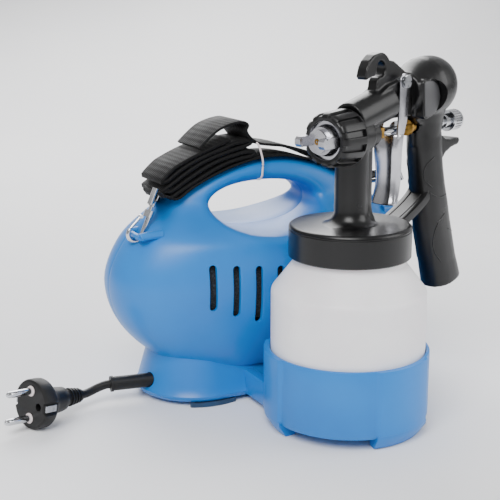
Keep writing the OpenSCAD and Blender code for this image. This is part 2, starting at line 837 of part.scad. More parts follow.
module gun_head() {
    color("#222224") at_gun() difference() {
        union() {
            // lid over the cup
            translate([0, 0, lid_z]) cylinder(h = lid_top - lid_z - 1.5, r = lid_r);
            translate([0, 0, lid_top - 1.5]) cylinder(h = 1.5, r1 = lid_r, r2 = lid_r - 1.5);
            difference() {
                union() {
                    // neck with its flared foot
                    rotate_extrude() polygon(concat([[0, lid_top - 0.5]],
                        arc([20.2, lid_top + 9], 9.2, -90, -180, 8), [[11, spray_z], [0, spray_z]]));
                    translate([-8, 0, lid_top - 1]) cylinder(h = spray_z - lid_top, r = 9);
                    // barrel
                    translate([0, 0, spray_z]) along_x(-21, 9, 27);
                    bar(barrel_at(-34), barrel_at(4), barrel_r);
                    // web between barrel, neck and waist
                    plate(2 * waist_w, [[0, spray_z - 14], [-13, spray_z - 9], [-21, spray_z + 9],
                        [waist_x, spray_z + 9], [waist_x, pivot[1] + 4], [-30, 229], [0, 215]]);
                    hook_shape();
                }
                // room for the collar nut
                translate([0, 0, spray_z]) along_x(6.2, collar_r + gap, 30);
            }
            // threaded nose
            translate([0, 0, spray_z]) along_x(-11, 13, 23);
        }
        // inside of the lid
        translate([0, 0, lid_z - 1]) cylinder(h = cup_top + 1.8 - lid_z + 1, r = neck_r + 1.3);
        // fluid passage, seats of nozzle and packing
        translate([0, 0, lid_z]) cylinder(h = spray_z - lid_z, r = tube_r);
        translate([0, 0, spray_z]) along_x(-6, 7, 20);
        translate([0, 0, spray_z]) along_x(-30, 4.6, 32);
        // room for a spanner on the packing nut
        translate([0, 0, spray_z]) along_x(-47, 7.4, 25.5);
        // air passage down from the barrel
        bar(barrel_at(-80), barrel_at(-6), 6);
        translate([pivot[0], 0, pivot[1]]) along_y(-20, 2.5, 40);
    }
}

// Hanging hook above the barrel
module hook_shape() {
    c = [-25, 240];
    difference() {
        union() {
            translate([c[0], -hook_t / 2, c[1]]) along_y(0, 10.5, hook_t);
            plate(hook_t, [[-22, 226], [-22, 240], [-30, 250], [-57, 236], [-57, 226]]);
            plate(hook_t, [[-14.6, 240], [-17, 236.6], [-10, 233.4], [-8, 238], [-11, 245.4],
                [-18.5, 249.4], [-25, 250.5]]);
        }
        translate([c[0], -hook_t, c[1]]) along_y(0, 5.2, 2 * hook_t);
        plate(2 * hook_t, [[-25, 240], [-21.8, 232], [-21.8, 226], [-8, 226], [-8.5, 232.6], [-18, 235.2]]);
    }
}

grip_rake = 15;

module gun_handle() {
    color("#222224") at_gun() difference() {
        union() {
            hull() {
                translate([-62, 0, 225]) rotate([0, -90, 0]) cylinder(h = 1, r = 12.5, $fn = 32);
                translate([-86, 0, 222]) sphere(r = 20, $fn = 40);
                translate([-90, 0, 216]) sphere(r = 17, $fn = 32);
            }
            // waist between the trigger's plates
            plate(2 * waist_w, [[waist_x, spray_z + 9], [waist_x, pivot[1] + 1], [-75, 236], [-75, 200]]);
            hull() {
                translate([-79, 0, 186]) cylinder(h = 30, r = 11, $fn = 32);
                translate([-91, 0, 186]) cylinder(h = 26, r = 11, $fn = 32);
            }
            // raked grip
            hull() {
                translate([-81, 0, 184]) cylinder(h = 8, r = 10.5, $fn = 32);
                translate([-89, 0, 184]) cylinder(h = 8, r = 11, $fn = 32);
                translate([-104, 0, 102]) cylinder(h = 1, r = 11.5, $fn = 32);
                translate([-112, 0, 102]) cylinder(h = 1, r = 11.5, $fn = 32);
            }
            hull() {
                translate([-104, 0, 101]) cylinder(h = 2, r = 11.5, $fn = 32);
                translate([-112, 0, 101]) cylinder(h = 2, r = 11.5, $fn = 32);
                translate([-111, 0, 80]) rotate([0, 14, 0]) cylinder(h = 3, r = 12.5, $fn = 32);
                translate([-118, 0, 83]) rotate([0, 14, 0]) cylinder(h = 3, r = 12.5, $fn = 32);
            }
            // rest for the web of the hand
            plate(14, [[-98, 172], [-106, 178], [-121, 181], [-122.5, 184], [-121, 186], [-106, 185.5],
                [-98, 188]]);
            // brace down to the lid
            plate(17.5, [[-78, 148], [-84, 147], [-96, 134], [-90, 133], [-80, 138.5], [-54, 129.5],
                [-41.2, 130.5],
                [-41.2, 135], [-52, 137]]);
        }
        // spring chamber and needle bore
        translate([0, 0, spray_z]) along_x(-110, 5, 40.5);
        translate([0, 0, spray_z]) along_x(-70, 4, 8);
        translate([0, 0, spray_z]) along_x(-63.5, 6.5, 30);
        bar([-80, 230.5], [-56, 222.7], 6);
        // air way down the grip, open at its end
        bar(inlet_from + 20 * grip_up, inlet_from + 106 * grip_up, inlet_r - 2.5);
        bar(inlet_from, inlet_from + inlet_depth * grip_up, inlet_r);
    }
}

grip_up = [sin(grip_rake), cos(grip_rake)];     // up along the grip
inlet_from = [-119, 74];
inlet_depth = 32;

// ---- nozzle, needle and trigger ----
module on_spray() at_gun() translate([0, 0, spray_z]) children();

module fluid_nozzle() {
    color("#c8a862") on_spray() difference() {
        union() {
            along_x(0, 6.9, 14);
            rotate([0, 90, 0]) translate([0, 0, 14]) cylinder(h = 6, r = 9, $fn = 6);
            translate([20, 0, 0]) rotate([0, 90, 0]) cylinder(h = 14, r1 = 6, r2 = 2.2);
            along_x(34, 1.6, 3.2);
        }
        along_x(-1, needle_r + 1, 30);
        translate([29, 0, 0]) rotate([0, 90, 0]) cylinder(h = 6, r1 = needle_r + 1, r2 = 0.9);
        along_x(34, 0.9, 5);
    }
}

module air_cap() {
    color("silver") on_spray() difference() {
        union() {
            along_x(24, cap_r, 3);
            translate([27, 0, 0]) rotate([0, 90, 0]) cylinder(h = 6, r1 = 10.5, r2 = 9);
            along_x(33, 7.5, 3.6);
            for (s = [-1, 1])
                translate([30, s * 9.4, 0]) horn(s);
        }
        along_x(23, 9.3, 4);
        translate([26.9, 0, 0]) rotate([0, 90, 0]) cylinder(h = 7.2, r1 = 8.2, r2 = 3.6);
        along_x(33, 2.1, 5);
    }
}

module horn(s) {
    difference() {
        rotate([90, 0, 0]) translate([0, 0, -2.2]) linear_extrude(4.4)
            polygon([[-3, -3.3], [13, -3.3], [14.6, -1.5], [14.6, 1.5], [13, 3.3], [-3, 3.3]]);
        translate([11, 0, 0]) rotate([s * 60, 0, 0]) along_y(-6, 0.8, 12);
    }
}

module collar_nut() {
    color("#18181a") on_spray() difference() {
        union() {
            translate([7, 0, 0]) rotate([0, 90, 0])
                cylinder(h = 22.5, r1 = collar_r - 1, r2 = collar_r - 2.5);
            along_x(6.5, collar_r - 0.2, 3);
            for (i = [0:11])
                rotate([30 * i, 0, 0]) translate([8, -3, collar_r - 4]) cube([20.5, 6, 3.4]);
        }
        along_x(6, 13 + run + 0.1, 12.6);
        along_x(17, 14.2, 10.3);
        along_x(20, 12.6, 12);
    }
}

module packing_nut() {
    color("#b8863b") on_spray() difference() {
        union() {
            along_x(-30, 4.5, 12);
            translate([-28, 0, 0]) rotate([0, 90, 0]) cylinder(h = 6.5, r = 6.6, $fn = 6);
        }
        along_x(-31, needle_r + run, 20);
    }
}

module needle_guide() {
    color("#b8863b") on_spray() difference() {
        union() {
            along_x(-69, 3.95, 6);
            along_x(-63.45, 5.8, 1.75);
        }
        along_x(-70, needle_r + run, 20);
    }
}

push_x = -49.5;         // face that the trigger pushes
module fluid_needle() {
    color("silver") on_spray() {
        translate([29.5, 0, 0]) rotate([0, 90, 0]) cylinder(h = 7.6, r1 = needle_r, r2 = 0.4);
        along_x(-93.5, needle_r, 123);
        along_x(push_x - 3, 5.4, 3);
        along_x(-73, 3.4, 2.5);
    }
}

module needle_spring() {
    coil_r = 4;
    turns = 9;
    length = 19;
    steps = 12;
    color("#a8a8a8") on_spray() tube([for (i = [0:turns * steps]) let (a = 360 * i / steps)
        [-74.1 - length * i / (turns * steps), coil_r * cos(a), coil_r * sin(a)]], 0.45, 6);
}

module flow_knob() {
    color("silver") on_spray() difference() {
        union() {
            along_x(-104, 4.4, 1.5);
            along_x(-112, 5.2, 5);
            along_x(-125, knob_r, 11);
            translate([-126.5, 0, 0]) rotate([0, 90, 0]) cylinder(h = 1.5, r1 = knob_r - 1.5, r2 = knob_r);
            along_x(-114, 4, 12);
        }
        for (i = [0:23])
            rotate([15 * i, 0, 0]) translate([-123.5, 0, knob_r - 0.6])
                rotate([45, 0, 0]) cube([8, 1.2, 1.2]);
    }
}

plate_in = waist_w + gap + 0.4;
plate_t = 1.6;
plate_out = plate_in + plate_t;
module trigger() {
    side = [[-45, 236.5], [-41, 235], [-39.5, 231], [-39, 203], [-36.5, 186], [-38.5, 170], [-37.5, 156],
        [-34.5, 149], [-36.5, 146.8], [-40, 148.5], [-42, 156], [-43.5, 170], [-43, 186], [-48.5, 200],
        [-50.5, 231], [-49, 235]];
    color("silver") at_gun() difference() {
        union() {
            for (s = [-1, 1])
                translate([0, s * (plate_in + plate_t / 2), 0]) plate(plate_t, side);
            for (s = [-1, 1])
                translate([-47.7, 0, spray_z]) along_y(s > 0 ? 3.8 : -plate_in, 1.5, plate_in - 3.8);
            // finger pad
            plate(2 * plate_in, [[-38.3, 192], [-36.5, 186], [-38.5, 170], [-37.5, 156], [-34.5, 149],
                [-36.5, 146.8], [-38.6, 149.5], [-39.7, 156], [-40.7, 170], [-38.7, 186], [-40.3, 191.6]]);
        }
        translate([pivot[0], 0, pivot[1]]) along_y(-20, 2.5 + run, 40);
    }
}

module trigger_screw() {
    color("#8e8e92") at_gun() translate([pivot[0], 0, pivot[1]]) difference() {
        union() {
            along_y(-plate_out - 3, 2.5, 2 * plate_out + 3.3);
            along_y(plate_out + gap, 4.2, 2);
        }
        translate([-5, plate_out + 1.4, -0.6]) cube([10, 3, 1.2]);
    }
}

module trigger_nut() {
    color("#8e8e92") at_gun() translate([pivot[0], 0, pivot[1]]) difference() {
        translate([0, -plate_out - 3, 0]) rotate([-90, 0, 0]) cylinder(h = 2.7, r = 4.4, $fn = 6);
        along_y(-20, 2.5, 30);
    }
}

module pickup_tube() {
    color("#c9ccd2") at_gun() difference() {
        union() {
            translate([0, 0, cup_z + cup_wall + 6]) cylinder(h = 150, r = tube_r);
            translate([0, 0, cup_top + 2.8 - 4]) cylinder(h = 3, r = 7);
        }
        translate([0, 0, 0]) cylinder(h = 200, r = tube_r - 1);
        translate([-10, -10, cup_z]) rotate([0, 25, 0]) cube([20, 20, 5]);
    }
}

front_shell();
back_shell();
base_tray();
rubber_feet();
housing_screws();
base_screws();
outlet_socket();
outlet_gasket();
filter_foam();
filter_frame();
fan_housing();
fan_cover();
fan_wheel();
fan_nut();
motor_shaft();
armature();
commutator();
motor_housing();
stator_core();
field_coils();
front_bearing();
rear_bearing();
rear_bracket();
brush_holders();
carbon_brushes();
motor_mounts();
switch_bezel();
switch_rocker();
cord_clamp();
cable_guard();
power_cord();
plug_body();
plug_pins();
strap_hook_left();
strap_hook_right();
hook_gate_left();
hook_gate_right();
strap_bundle();
strap_runs();
twist_tie();
cup_holder();
gun_head();
gun_handle();
fluid_nozzle();
air_cap();
collar_nut();
packing_nut();
needle_guide();
fluid_needle();
needle_spring();
flow_knob();
trigger();
trigger_screw();
trigger_nut();
pickup_tube();
cup_gasket();
paint_cup();
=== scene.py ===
"""Finished looks of a turbine paint sprayer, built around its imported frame."""

from math import cos, hypot, pi, radians, sin, sqrt, tan

import bpy
from mathutils import Matrix, Vector
from mathutils.bvhtree import BVHTree


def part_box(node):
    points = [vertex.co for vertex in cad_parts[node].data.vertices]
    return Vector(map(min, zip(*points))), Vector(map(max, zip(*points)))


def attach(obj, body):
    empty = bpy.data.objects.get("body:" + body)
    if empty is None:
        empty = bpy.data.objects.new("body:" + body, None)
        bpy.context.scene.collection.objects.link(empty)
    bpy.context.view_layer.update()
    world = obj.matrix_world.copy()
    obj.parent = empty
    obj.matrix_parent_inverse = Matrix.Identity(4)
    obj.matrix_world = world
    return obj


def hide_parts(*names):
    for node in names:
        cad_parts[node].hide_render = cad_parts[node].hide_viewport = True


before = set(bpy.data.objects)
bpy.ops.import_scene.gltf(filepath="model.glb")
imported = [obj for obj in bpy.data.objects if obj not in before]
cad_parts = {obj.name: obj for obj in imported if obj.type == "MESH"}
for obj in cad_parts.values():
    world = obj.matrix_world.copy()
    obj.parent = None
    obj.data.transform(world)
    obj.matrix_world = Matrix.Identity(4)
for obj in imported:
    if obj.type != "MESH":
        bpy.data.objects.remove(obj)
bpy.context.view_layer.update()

bl_info = {
    "name": "Turbine paint sprayer",
    "version": (1, 0, 0),
    "blender": (4, 5, 0),
    "location": "View3D > Sidebar > Sprayer",
    "description": "Turbine with handle, strap and cup holder, and a spray gun with its cup",
    "category": "Object",
}

MM = 0.001


def span(node):
    """Lowest and highest corner of a node, in millimetres."""
    low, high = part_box(node)
    return low / MM, high / MM


# ---- places that the pieces share, in millimetres, read from the frame ----
SHELL_LOW, SHELL_HIGH = span("front_shell")
CUP_LOW, CUP_HIGH = span("paint_cup")
GASKET_LOW, GASKET_HIGH = span("cup_gasket")
CUP_X = (CUP_LOW.x + CUP_HIGH.x) / 2
CUP_Y = (CUP_LOW.y + CUP_HIGH.y) / 2
CUP_R = (CUP_HIGH.x - CUP_LOW.x) / 2
NECK_R = (GASKET_HIGH.x - GASKET_LOW.x) / 2
SPRAY_Z = sum(c.z for c in span("collar_nut")) / 2
HOLDER_H = span("cup_holder")[1].z
BODY_TOP = SHELL_HIGH.z + 0.3
BODY_DEPTH = -SHELL_LOW.y
BODY_LENGTH = SHELL_HIGH.x
BASE_Z = SHELL_LOW.z
WIDEST_Z = 88.0
HANDLE_THICK = 13
HANDLE_HALF = 21
CROWN_POWER = 1.7
GUN_TURN = 200.0
LENS = 77.68
VIEW_TURN = -28.0
GUN = Matrix.Translation((CUP_X, CUP_Y, 0)) @ Matrix.Rotation(radians(GUN_TURN), 4, "Z")
Z_TO_Y = Matrix.Rotation(-pi / 2, 4, "X")
Z_TO_X = Matrix(((0, 0, 1, 0), (0, 1, 0, 0), (-1, 0, 0, 0), (0, 0, 0, 1)))
SPRAY_AXIS = Matrix.Translation((0, 0, SPRAY_Z)) @ Z_TO_X


# ---- meshes ----
def make_piece(name, points, faces, body, material, slot, stands_for=(), place=None):
    """A mesh from points in millimetres, riding on a body."""
    mesh = bpy.data.meshes.new(name)
    place = place or Matrix.Identity(4)
    mesh.from_pydata([(place @ Vector(p)) * MM for p in points], [], faces)
    mesh.update()
    piece = bpy.data.objects.new(name, mesh)
    bpy.context.scene.collection.objects.link(piece)
    if material:
        mesh.materials.append(material)
    if body:
        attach(piece, body)
    if stands_for:
        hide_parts(*stands_for)
    return piece


def cutter(name, part, place=None):
    """A closed mesh that only cuts."""
    return make_piece(name, *part, None, None, None, (), place)


def settle(piece, sharp=35):
    """Applies a piece's modifiers and sets its smooth shading."""
    graph = bpy.context.evaluated_depsgraph_get()
    graph.update()
    mesh = bpy.data.meshes.new_from_object(piece.evaluated_get(graph))
    piece.modifiers.clear()
    piece.data = mesh
    mesh.shade_smooth()
    mesh.set_sharp_from_angle(angle=radians(sharp))
    return piece


def modify(piece, kind, **settings):
    """Adds one modifier with its settings."""
    modifier = piece.modifiers.new(kind.title(), kind)
    for key, value in settings.items():
        setattr(modifier, key, value)
    return modifier


def bevelled(piece, width_mm, segments, angle=50, sharp=50):
    """Softens a piece's edges and settles it."""
    modify(piece, "BEVEL", width=width_mm * MM, segments=segments, limit_method="ANGLE", angle_limit=radians(angle))
    return settle(piece, sharp)


def cut(piece, *tools):
    """Cuts closed meshes out of a piece and removes them."""
    for tool in tools:
        modify(piece, "BOOLEAN", operation="DIFFERENCE", solver="EXACT", object=tool)
    settle(piece)
    for tool in tools:
        bpy.data.objects.remove(tool)


def outward(points, faces):
    """A closed part with its faces turned outwards."""
    volume = 0.0
    for face in faces:
        first = Vector(points[face[0]])
        for a, b in zip(face[1:-1], face[2:]):
            volume += first.dot(Vector(points[a]).cross(Vector(points[b])))
    return points, faces if volume > 0 else [face[::-1] for face in faces]


def loft(rings, closed=True, caps=True):
    """Points and faces through rings of equally many points."""
    count = len(rings[0])
    points = [p for ring in rings for p in ring]
    faces = []
    for k in range(len(rings) - 1):
        for i in range(count if closed else count - 1):
            j = (i + 1) % count
            faces.append((k * count + i, k * count + j, (k + 1) * count + j, (k + 1) * count + i))
    if caps:
        faces.append(tuple(range(count))[::-1])
        faces.append(tuple(range((len(rings) - 1) * count, len(rings) * count)))
        return outward(points, faces)
    return points, faces


def turned_ring(r, z, count, shape):
    """One ring of a turned body; shape(angle, r, z) may move r."""
    ring = []
    for i in range(count):
        a = 2 * pi * i / count
        radius = shape(a, r, z) if shape else r
        ring.append((radius * cos(a), radius * sin(a), z))
    return ring


def turned(profile, count=96, shape=None):
    """A closed turned body about Z from a closed list of radius and height."""
    rings = [turned_ring(r, z, count, shape) for r, z in profile]
    points, faces = loft(rings + [rings[0]], caps=False)
    keep = len(rings) * count
    faces = [tuple(i % keep for i in face) for face in faces]
    return outward(points[:keep], faces)


def solid_turned(profile, count=96, shape=None):
    """A turned body whose profile starts and ends near the axis."""
    return loft([turned_ring(r, z, count, shape) for r, z in profile])


def prism(outline, low, high):
    """A plate: an outline in XZ, from y = low to y = high."""
    return loft([[(x, low, z) for x, z in outline], [(x, high, z) for x, z in outline]])


def swept(path, radius, count=16):
    """A round tube along a path of points, with a radius or a list of them."""
    rings = []
    up = Vector((0, 0, 1))
    for k, p in enumerate(path):
        d = (Vector(path[min(k + 1, len(path) - 1)]) - Vector(path[max(k - 1, 0)])).normalized()
        u = d.cross(up)
        u = u.normalized() if u.length > 0.05 else Vector((1, 0, 0))
        v = u.cross(d).normalized()
        r = radius[k] if isinstance(radius, (list, tuple)) else radius
        rings.append([tuple(Vector(p) + r * (cos(2 * pi * i / count) * u + sin(2 * pi * i / count) * v))
                      for i in range(count)])
    return loft(rings)


def merged(*parts):
    """Several lists of points and faces as one."""
    points, faces = [], []
    for part_points, part_faces in parts:
        start = len(points)
        points += part_points
        faces += [tuple(i + start for i in face) for face in part_faces]
    return points, faces


def moved(part, place):
    """Points and faces put elsewhere."""
    return [tuple(place @ Vector(p)) for p in part[0]], part[1]


def smooth_path(points, steps=8):
    """A Catmull-Rom curve through points."""
    pts = [Vector(p) for p in points]
    pts = [2 * pts[0] - pts[1]] + pts + [2 * pts[-1] - pts[-2]]
    out = []
    for k in range(1, len(pts) - 2):
        a, b, c, d = pts[k - 1:k + 3]
        for i in range(steps):
            t = i / steps
            out.append(0.5 * (2 * b + (c - a) * t + (2 * a - 5 * b + 4 * c - d) * t ** 2
                              + (3 * b - a - 3 * c + d) * t ** 3))
    return out + [pts[-2]]


def corner(cx, cz, r, start, end, steps=6):
    """Points of an arc, angles in degrees."""
    return [(cx + r * cos(radians(start + (end - start) * i / steps)),
             cz + r * sin(radians(start + (end - start) * i / steps))) for i in range(steps + 1)]


def rounded_box(x0, x1, z0, z1, r, steps=6):
    """Outline of a rectangle with round corners."""
    return corner(x1 - r, z1 - r, r, 0, 90, steps) + corner(x0 + r, z1 - r, r, 90, 180, steps) \
        + corner(x0 + r, z0 + r, r, 180, 270, steps) + corner(x1 - r, z0 + r, r, 270, 360, steps)


def ease(t):
    """Smooth step from 0 to 1."""
    t = min(1, max(0, t))
    return t * t * (3 - 2 * t)


# ---- materials ----
def to_linear(text):
    """Linear colour of an sRGB hex text."""
    parts = [int(text[i:i + 2], 16) / 255 for i in (1, 3, 5)]
    return tuple(c / 12.92 if c <= 0.04045 else ((c + 0.055) / 1.055) ** 2.4 for c in parts) + (1.0,)


def add_node(tree, kind, links=None, **settings):
    """Adds a node with its settings, and sets or links its inputs."""
    node = tree.nodes.new(kind)
    for key, value in settings.items():
        setattr(node, key, value)
    for socket, value in (links or {}).items():
        target = node.inputs[socket]
        if isinstance(value, bpy.types.NodeSocket):
            tree.links.new(value, target)
        else:
            target.default_value = value
    return node


def start_material(name, **sockets):
    """A material with its shader, the sockets set, and the object's own coordinates."""
    material = bpy.data.materials.new(name)
    material.use_nodes = True
    tree = material.node_tree
    shader = tree.nodes["Principled BSDF"]
    for key, value in sockets.items():
        shader.inputs[key.replace("_", " ")].default_value = value
    place = add_node(tree, "ShaderNodeTexCoord").outputs["Object"]
    return material, tree, shader, place


def mottle(tree, shader, place, dark, light, size_mm, rough, grain_mm, height_mm):
    """Uneven colour in patches of size_mm, roughness between two values and a grain of grain_mm."""
    patch = add_node(tree, "ShaderNodeTexNoise", {"Vector": place, "Scale": 1 / (size_mm * MM),
                                                  "Detail": 3.0, "Roughness": 0.55})
    ramp = add_node(tree, "ShaderNodeValToRGB", {"Fac": patch.outputs["Fac"]})
    ramp.color_ramp.elements[0].position, ramp.color_ramp.elements[0].color = 0.3, to_linear(dark)
    ramp.color_ramp.elements[1].position, ramp.color_ramp.elements[1].color = 0.7, to_linear(light)
    tree.links.new(ramp.outputs["Color"], shader.inputs["Base Color"])
    grain = add_node(tree, "ShaderNodeTexNoise", {"Vector": place, "Scale": 1 / (grain_mm * MM), "Detail": 2.0})
    spread = add_node(tree, "ShaderNodeMapRange", {"Value": patch.outputs["Fac"], "From Min": 0.3,
                                                   "From Max": 0.7, "To Min": rough[0], "To Max": rough[1]})
    tree.links.new(spread.outputs["Result"], shader.inputs["Roughness"])
    bump = add_node(tree, "ShaderNodeBump", {"Height": grain.outputs["Fac"], "Distance": height_mm * MM,
                                             "Strength": 0.6})
    tree.links.new(bump.outputs["Normal"], shader.inputs["Normal"])


def lathe_lines(tree, shader, place, pitch_mm, height_mm):
    """Fine marks left by the tool on a turned piece."""
    wave = add_node(tree, "ShaderNodeTexNoise", {"Vector": place, "Scale": 1 / (pitch_mm * MM), "Detail": 4.0,
                                                 "Distortion": 0.4})
    bump = add_node(tree, "ShaderNodeBump", {"Height": wave.outputs["Fac"], "Distance": height_mm * MM,
                                             "Strength": 0.5})
    tree.links.new(bump.outputs["Normal"], shader.inputs["Normal"])


def foam_cells_and_painted_shade(tree, shader, place, cell_mm, height_mm):
    """Open cells in relief, coloured with painted shade in the hollows and painted light on the paler struts."""
    cells = add_node(tree, "ShaderNodeTexVoronoi", {"Vector": place, "Scale": 1 / (cell_mm * MM)})
    # painted shade and light: the ramp darkens the cell hollows and paints the struts paler
    ramp = add_node(tree, "ShaderNodeValToRGB", {"Fac": cells.outputs["Distance"]})
    ramp.color_ramp.elements[0].color = to_linear("#08090a")
    ramp.color_ramp.elements[1].color = to_linear("#3b4148")
    tree.links.new(ramp.outputs["Color"], shader.inputs["Base Color"])
    bump = add_node(tree, "ShaderNodeBump", {"Height": cells.outputs["Distance"], "Distance": height_mm * MM})
    tree.links.new(bump.outputs["Normal"], shader.inputs["Normal"])


def weave(tree, shader, place, rib_mm, cord_mm):
    """Ribs across the band and warp cords along it; a wave's scale is 20 / pi turns to the metre."""
    ribs = add_node(tree, "ShaderNodeTexWave", {"Vector": place, "Scale": 1 / (rib_mm * MM) / 20 * pi,
                                                "Distortion": 0.6, "Detail": 1.0}, bands_direction="X")
    cords = add_node(tree, "ShaderNodeTexWave", {"Vector": place, "Scale": 1 / (cord_mm * MM) / 20 * pi,
                                                 "Distortion": 0.3}, bands_direction="Y")
    both = add_node(tree, "ShaderNodeMath", {0: ribs.outputs["Fac"], 1: cords.outputs["Fac"]}, operation="ADD")
    bump = add_node(tree, "ShaderNodeBump", {"Height": both.outputs["Value"], "Distance": 0.25 * MM,
                                             "Strength": 0.8})
    tree.links.new(bump.outputs["Normal"], shader.inputs["Normal"])


# for each finish: the shader's settings, then what mottle takes: darker and lighter colour (or the name of the
# user's setting for it), size of the patches, range of roughness, grain and the height of its bump
FINISHES = {
    # ABS, injection moulded and satin polished: broad soft highlights with a trace of orange peel
    "moulded_abs": (dict(IOR=1.53, Specular_IOR_Level=0.4, Coat_Weight=0.06, Coat_Roughness=0.25),
                    "abs_dark", "abs_light", 60, (0.34, 0.42), 1.6, 0.03),
    # glass-filled nylon, moulded in a spark-eroded tool: black with a fine grain that greys its highlights
    "glass_filled_nylon": (dict(IOR=1.53, Specular_IOR_Level=0.38),
                           "nylon_dark", "nylon_light", 35, (0.27, 0.36), 0.7, 0.03),
    # the same black nylon on the flat inlay, coloured a paler, flatter grey: a painted highlight of the light on the
    # flat facet
    "nylon_painted_highlight": (dict(IOR=1.53), "#3a3a3c", "#48484a", 20, (0.45, 0.55), 0.5, 0.03),
    # plasticised PVC, extruded and overmoulded: dull black with a waxy sheen
    "soft_pvc": (dict(IOR=1.5, Specular_IOR_Level=0.4), "#060607", "#0b0b0c", 12, (0.42, 0.58), 0.9, 0.05),
    # nitrile rubber, compression moulded: matt, slightly dusty
    "moulded_rubber": (dict(IOR=1.5, Sheen_Weight=0.1), "#17344f", "#1d4468", 8, (0.7, 0.85), 0.6, 0.05),
    # HDPE, blow moulded and unpigmented: milky, light soaks in and the wall glows softly
    "blow_moulded_hdpe": (dict(IOR=1.54, Subsurface_Weight=0.45, Subsurface_Scale=0.004,
                               Subsurface_Radius=(1.0, 0.8, 0.85)),
                          "#efe9ee", "#f8f5f8", 45, (0.36, 0.46), 2.5, 0.05),
    # bright chrome over nickel: near-mirror, with faint polishing haze
    "chrome_plate": (dict(Metallic=1.0), "#c2c4c8", "#dcdde0", 9, (0.08, 0.18), 4.0, 0.0015),
    # die-cast zinc, tumbled and nickel plated: softer, greyer mirror
    "cast_zinc": (dict(Metallic=1.0), "#acacb2", "#cdcdd2", 14, (0.16, 0.26), 3.0, 0.003),
    # brass, turned from bar: warm yellow with dark tarnish in its corners
    "turned_brass": (dict(Metallic=1.0), "#7a5a26", "#c79a4c", 5, (0.2, 0.38), 1.0, 0.01),
    # steel, turned and zinc plated: cool grey, brushed highlights
    "turned_steel": (dict(Metallic=1.0), "#8a8c90", "#aeb0b4", 6, (0.24, 0.38), 0.8, 0.01),
    # aluminium sheet, pressed: pale grey, faintly grained from the rolls
    "pressed_aluminium": (dict(Metallic=1.0), "#b5b7ba", "#cfd1d3", 10, (0.3, 0.42), 0.9, 0.01),
    # enamelled copper wire and bars: red-brown, wires 0.6 mm apart
    "wound_copper": (dict(Metallic=1.0), "#7d4426", "#b8733f", 6, (0.3, 0.45), 0.6, 0.08),
    # pressed carbon and graphite: matt grey-black grains
    "pressed_carbon": (dict(IOR=1.6), "#151516", "#28282a", 2, (0.6, 0.75), 0.5, 0.04),
    # open-cell polyurethane foam: black and pitted, its colour from its cell pattern, with painted shade in the cell
    # hollows and painted light on the struts
    "filter_foam": (dict(IOR=1.45, Roughness=0.95),),
    # polypropylene webbing, woven: dull black that breaks up into small ribs
    "woven_webbing": (dict(IOR=1.49, Specular_IOR_Level=0.22, Sheen_Weight=0.04),
                      "#040405", "#0a0a0b", 15, (0.6, 0.75), 0.8, 0.05),
    # PVC-covered wire: pale and glossy with small kinks
    "tie_plastic": (dict(IOR=1.5), "#d9cfcf", "#efe8e6", 6, (0.3, 0.4), 1.5, 0.05),
    # polyethylene, unpigmented sheet and tube: waxy off-white
    "natural_polyethylene": (dict(IOR=1.5, Subsurface_Weight=0.2, Subsurface_Scale=0.002),
                             "#cfccbf", "#dedbd0", 12, (0.4, 0.5), 1.5, 0.04),
    # polycarbonate, moulded and polished: deep red switch button
    "red_polycarbonate": (dict(IOR=1.58, Coat_Weight=0.3), "#8d1414", "#a81c1c", 10, (0.18, 0.26), 1.5, 0.02),
    # smooth painted board, matt: a pale ground that only takes soft shadows
    "painted_floor": (dict(IOR=1.45), "#eeeef0", "#f4f4f5", 400, (0.7, 0.8), 3.0, 0.02),
}

# finishes with a relief of their own, and its two sizes in millimetres
RELIEF = {"turned_brass": (lathe_lines, 0.8, 0.02), "turned_steel": (lathe_lines, 0.7, 0.02),
          "filter_foam": (foam_cells_and_painted_shade, 1.1, 0.6), "woven_webbing": (weave, 1.8, 1.2)}


def finish_of(name):
    """The material of that name, made once."""
    if name in bpy.data.materials:
        return bpy.data.materials[name]
    sockets, *pattern = FINISHES[name]
    material, tree, shader, place = start_material(name, **sockets)
    if pattern:
        look = bpy.context.scene.sprayer_look
        dark, light = (c if c.startswith("#") else getattr(look, c) for c in pattern[:2])
        mottle(tree, shader, place, dark, light, *pattern[2:])
    if name in RELIEF:
        relief, *sizes = RELIEF[name]
        relief(tree, shader, place, *sizes)
    return material


# CAD nodes that keep their shape, and the finish of each
NODE_FINISH = {
    "moulded_rubber": ["rubber_feet"],
    "glass_filled_nylon": ["outlet_socket", "switch_bezel", "filter_frame", "fan_housing", "fan_cover",
                           "brush_holders", "cord_clamp"],
    "soft_pvc": ["cable_guard", "outlet_gasket", "motor_mounts"],
    "filter_foam": ["filter_foam"],
    "red_polycarbonate": ["switch_rocker"],
    "chrome_plate": ["strap_hook_left", "strap_hook_right", "hook_gate_left", "hook_gate_right", "flow_knob",
                     "fluid_needle"],
    "cast_zinc": ["air_cap"],
    "turned_steel": ["housing_screws", "base_screws", "motor_shaft", "front_bearing", "rear_bearing",
                     "motor_housing", "rear_bracket", "stator_core", "fan_nut", "needle_spring",
                     "trigger_screw", "trigger_nut"],
    "pressed_aluminium": ["fan_wheel"],
    "turned_brass": ["fluid_nozzle", "packing_nut", "needle_guide"],
    "wound_copper": ["armature", "commutator", "field_coils"],
    "pressed_carbon": ["carbon_brushes"],
    "natural_polyethylene": ["cup_gasket", "pickup_tube"],
}


# ---- form of the turbine's body ----
def body_length_at(z):
    """Half the body's length at a height."""
    if z >= WIDEST_Z:
        u, n = (z - WIDEST_Z) / (BODY_TOP - WIDEST_Z), CROWN_POWER
    else:
        u, n = (WIDEST_Z - z) / 79, 2
    return BODY_LENGTH * max(0, 1 - max(0, u) ** n) ** (1 / n)


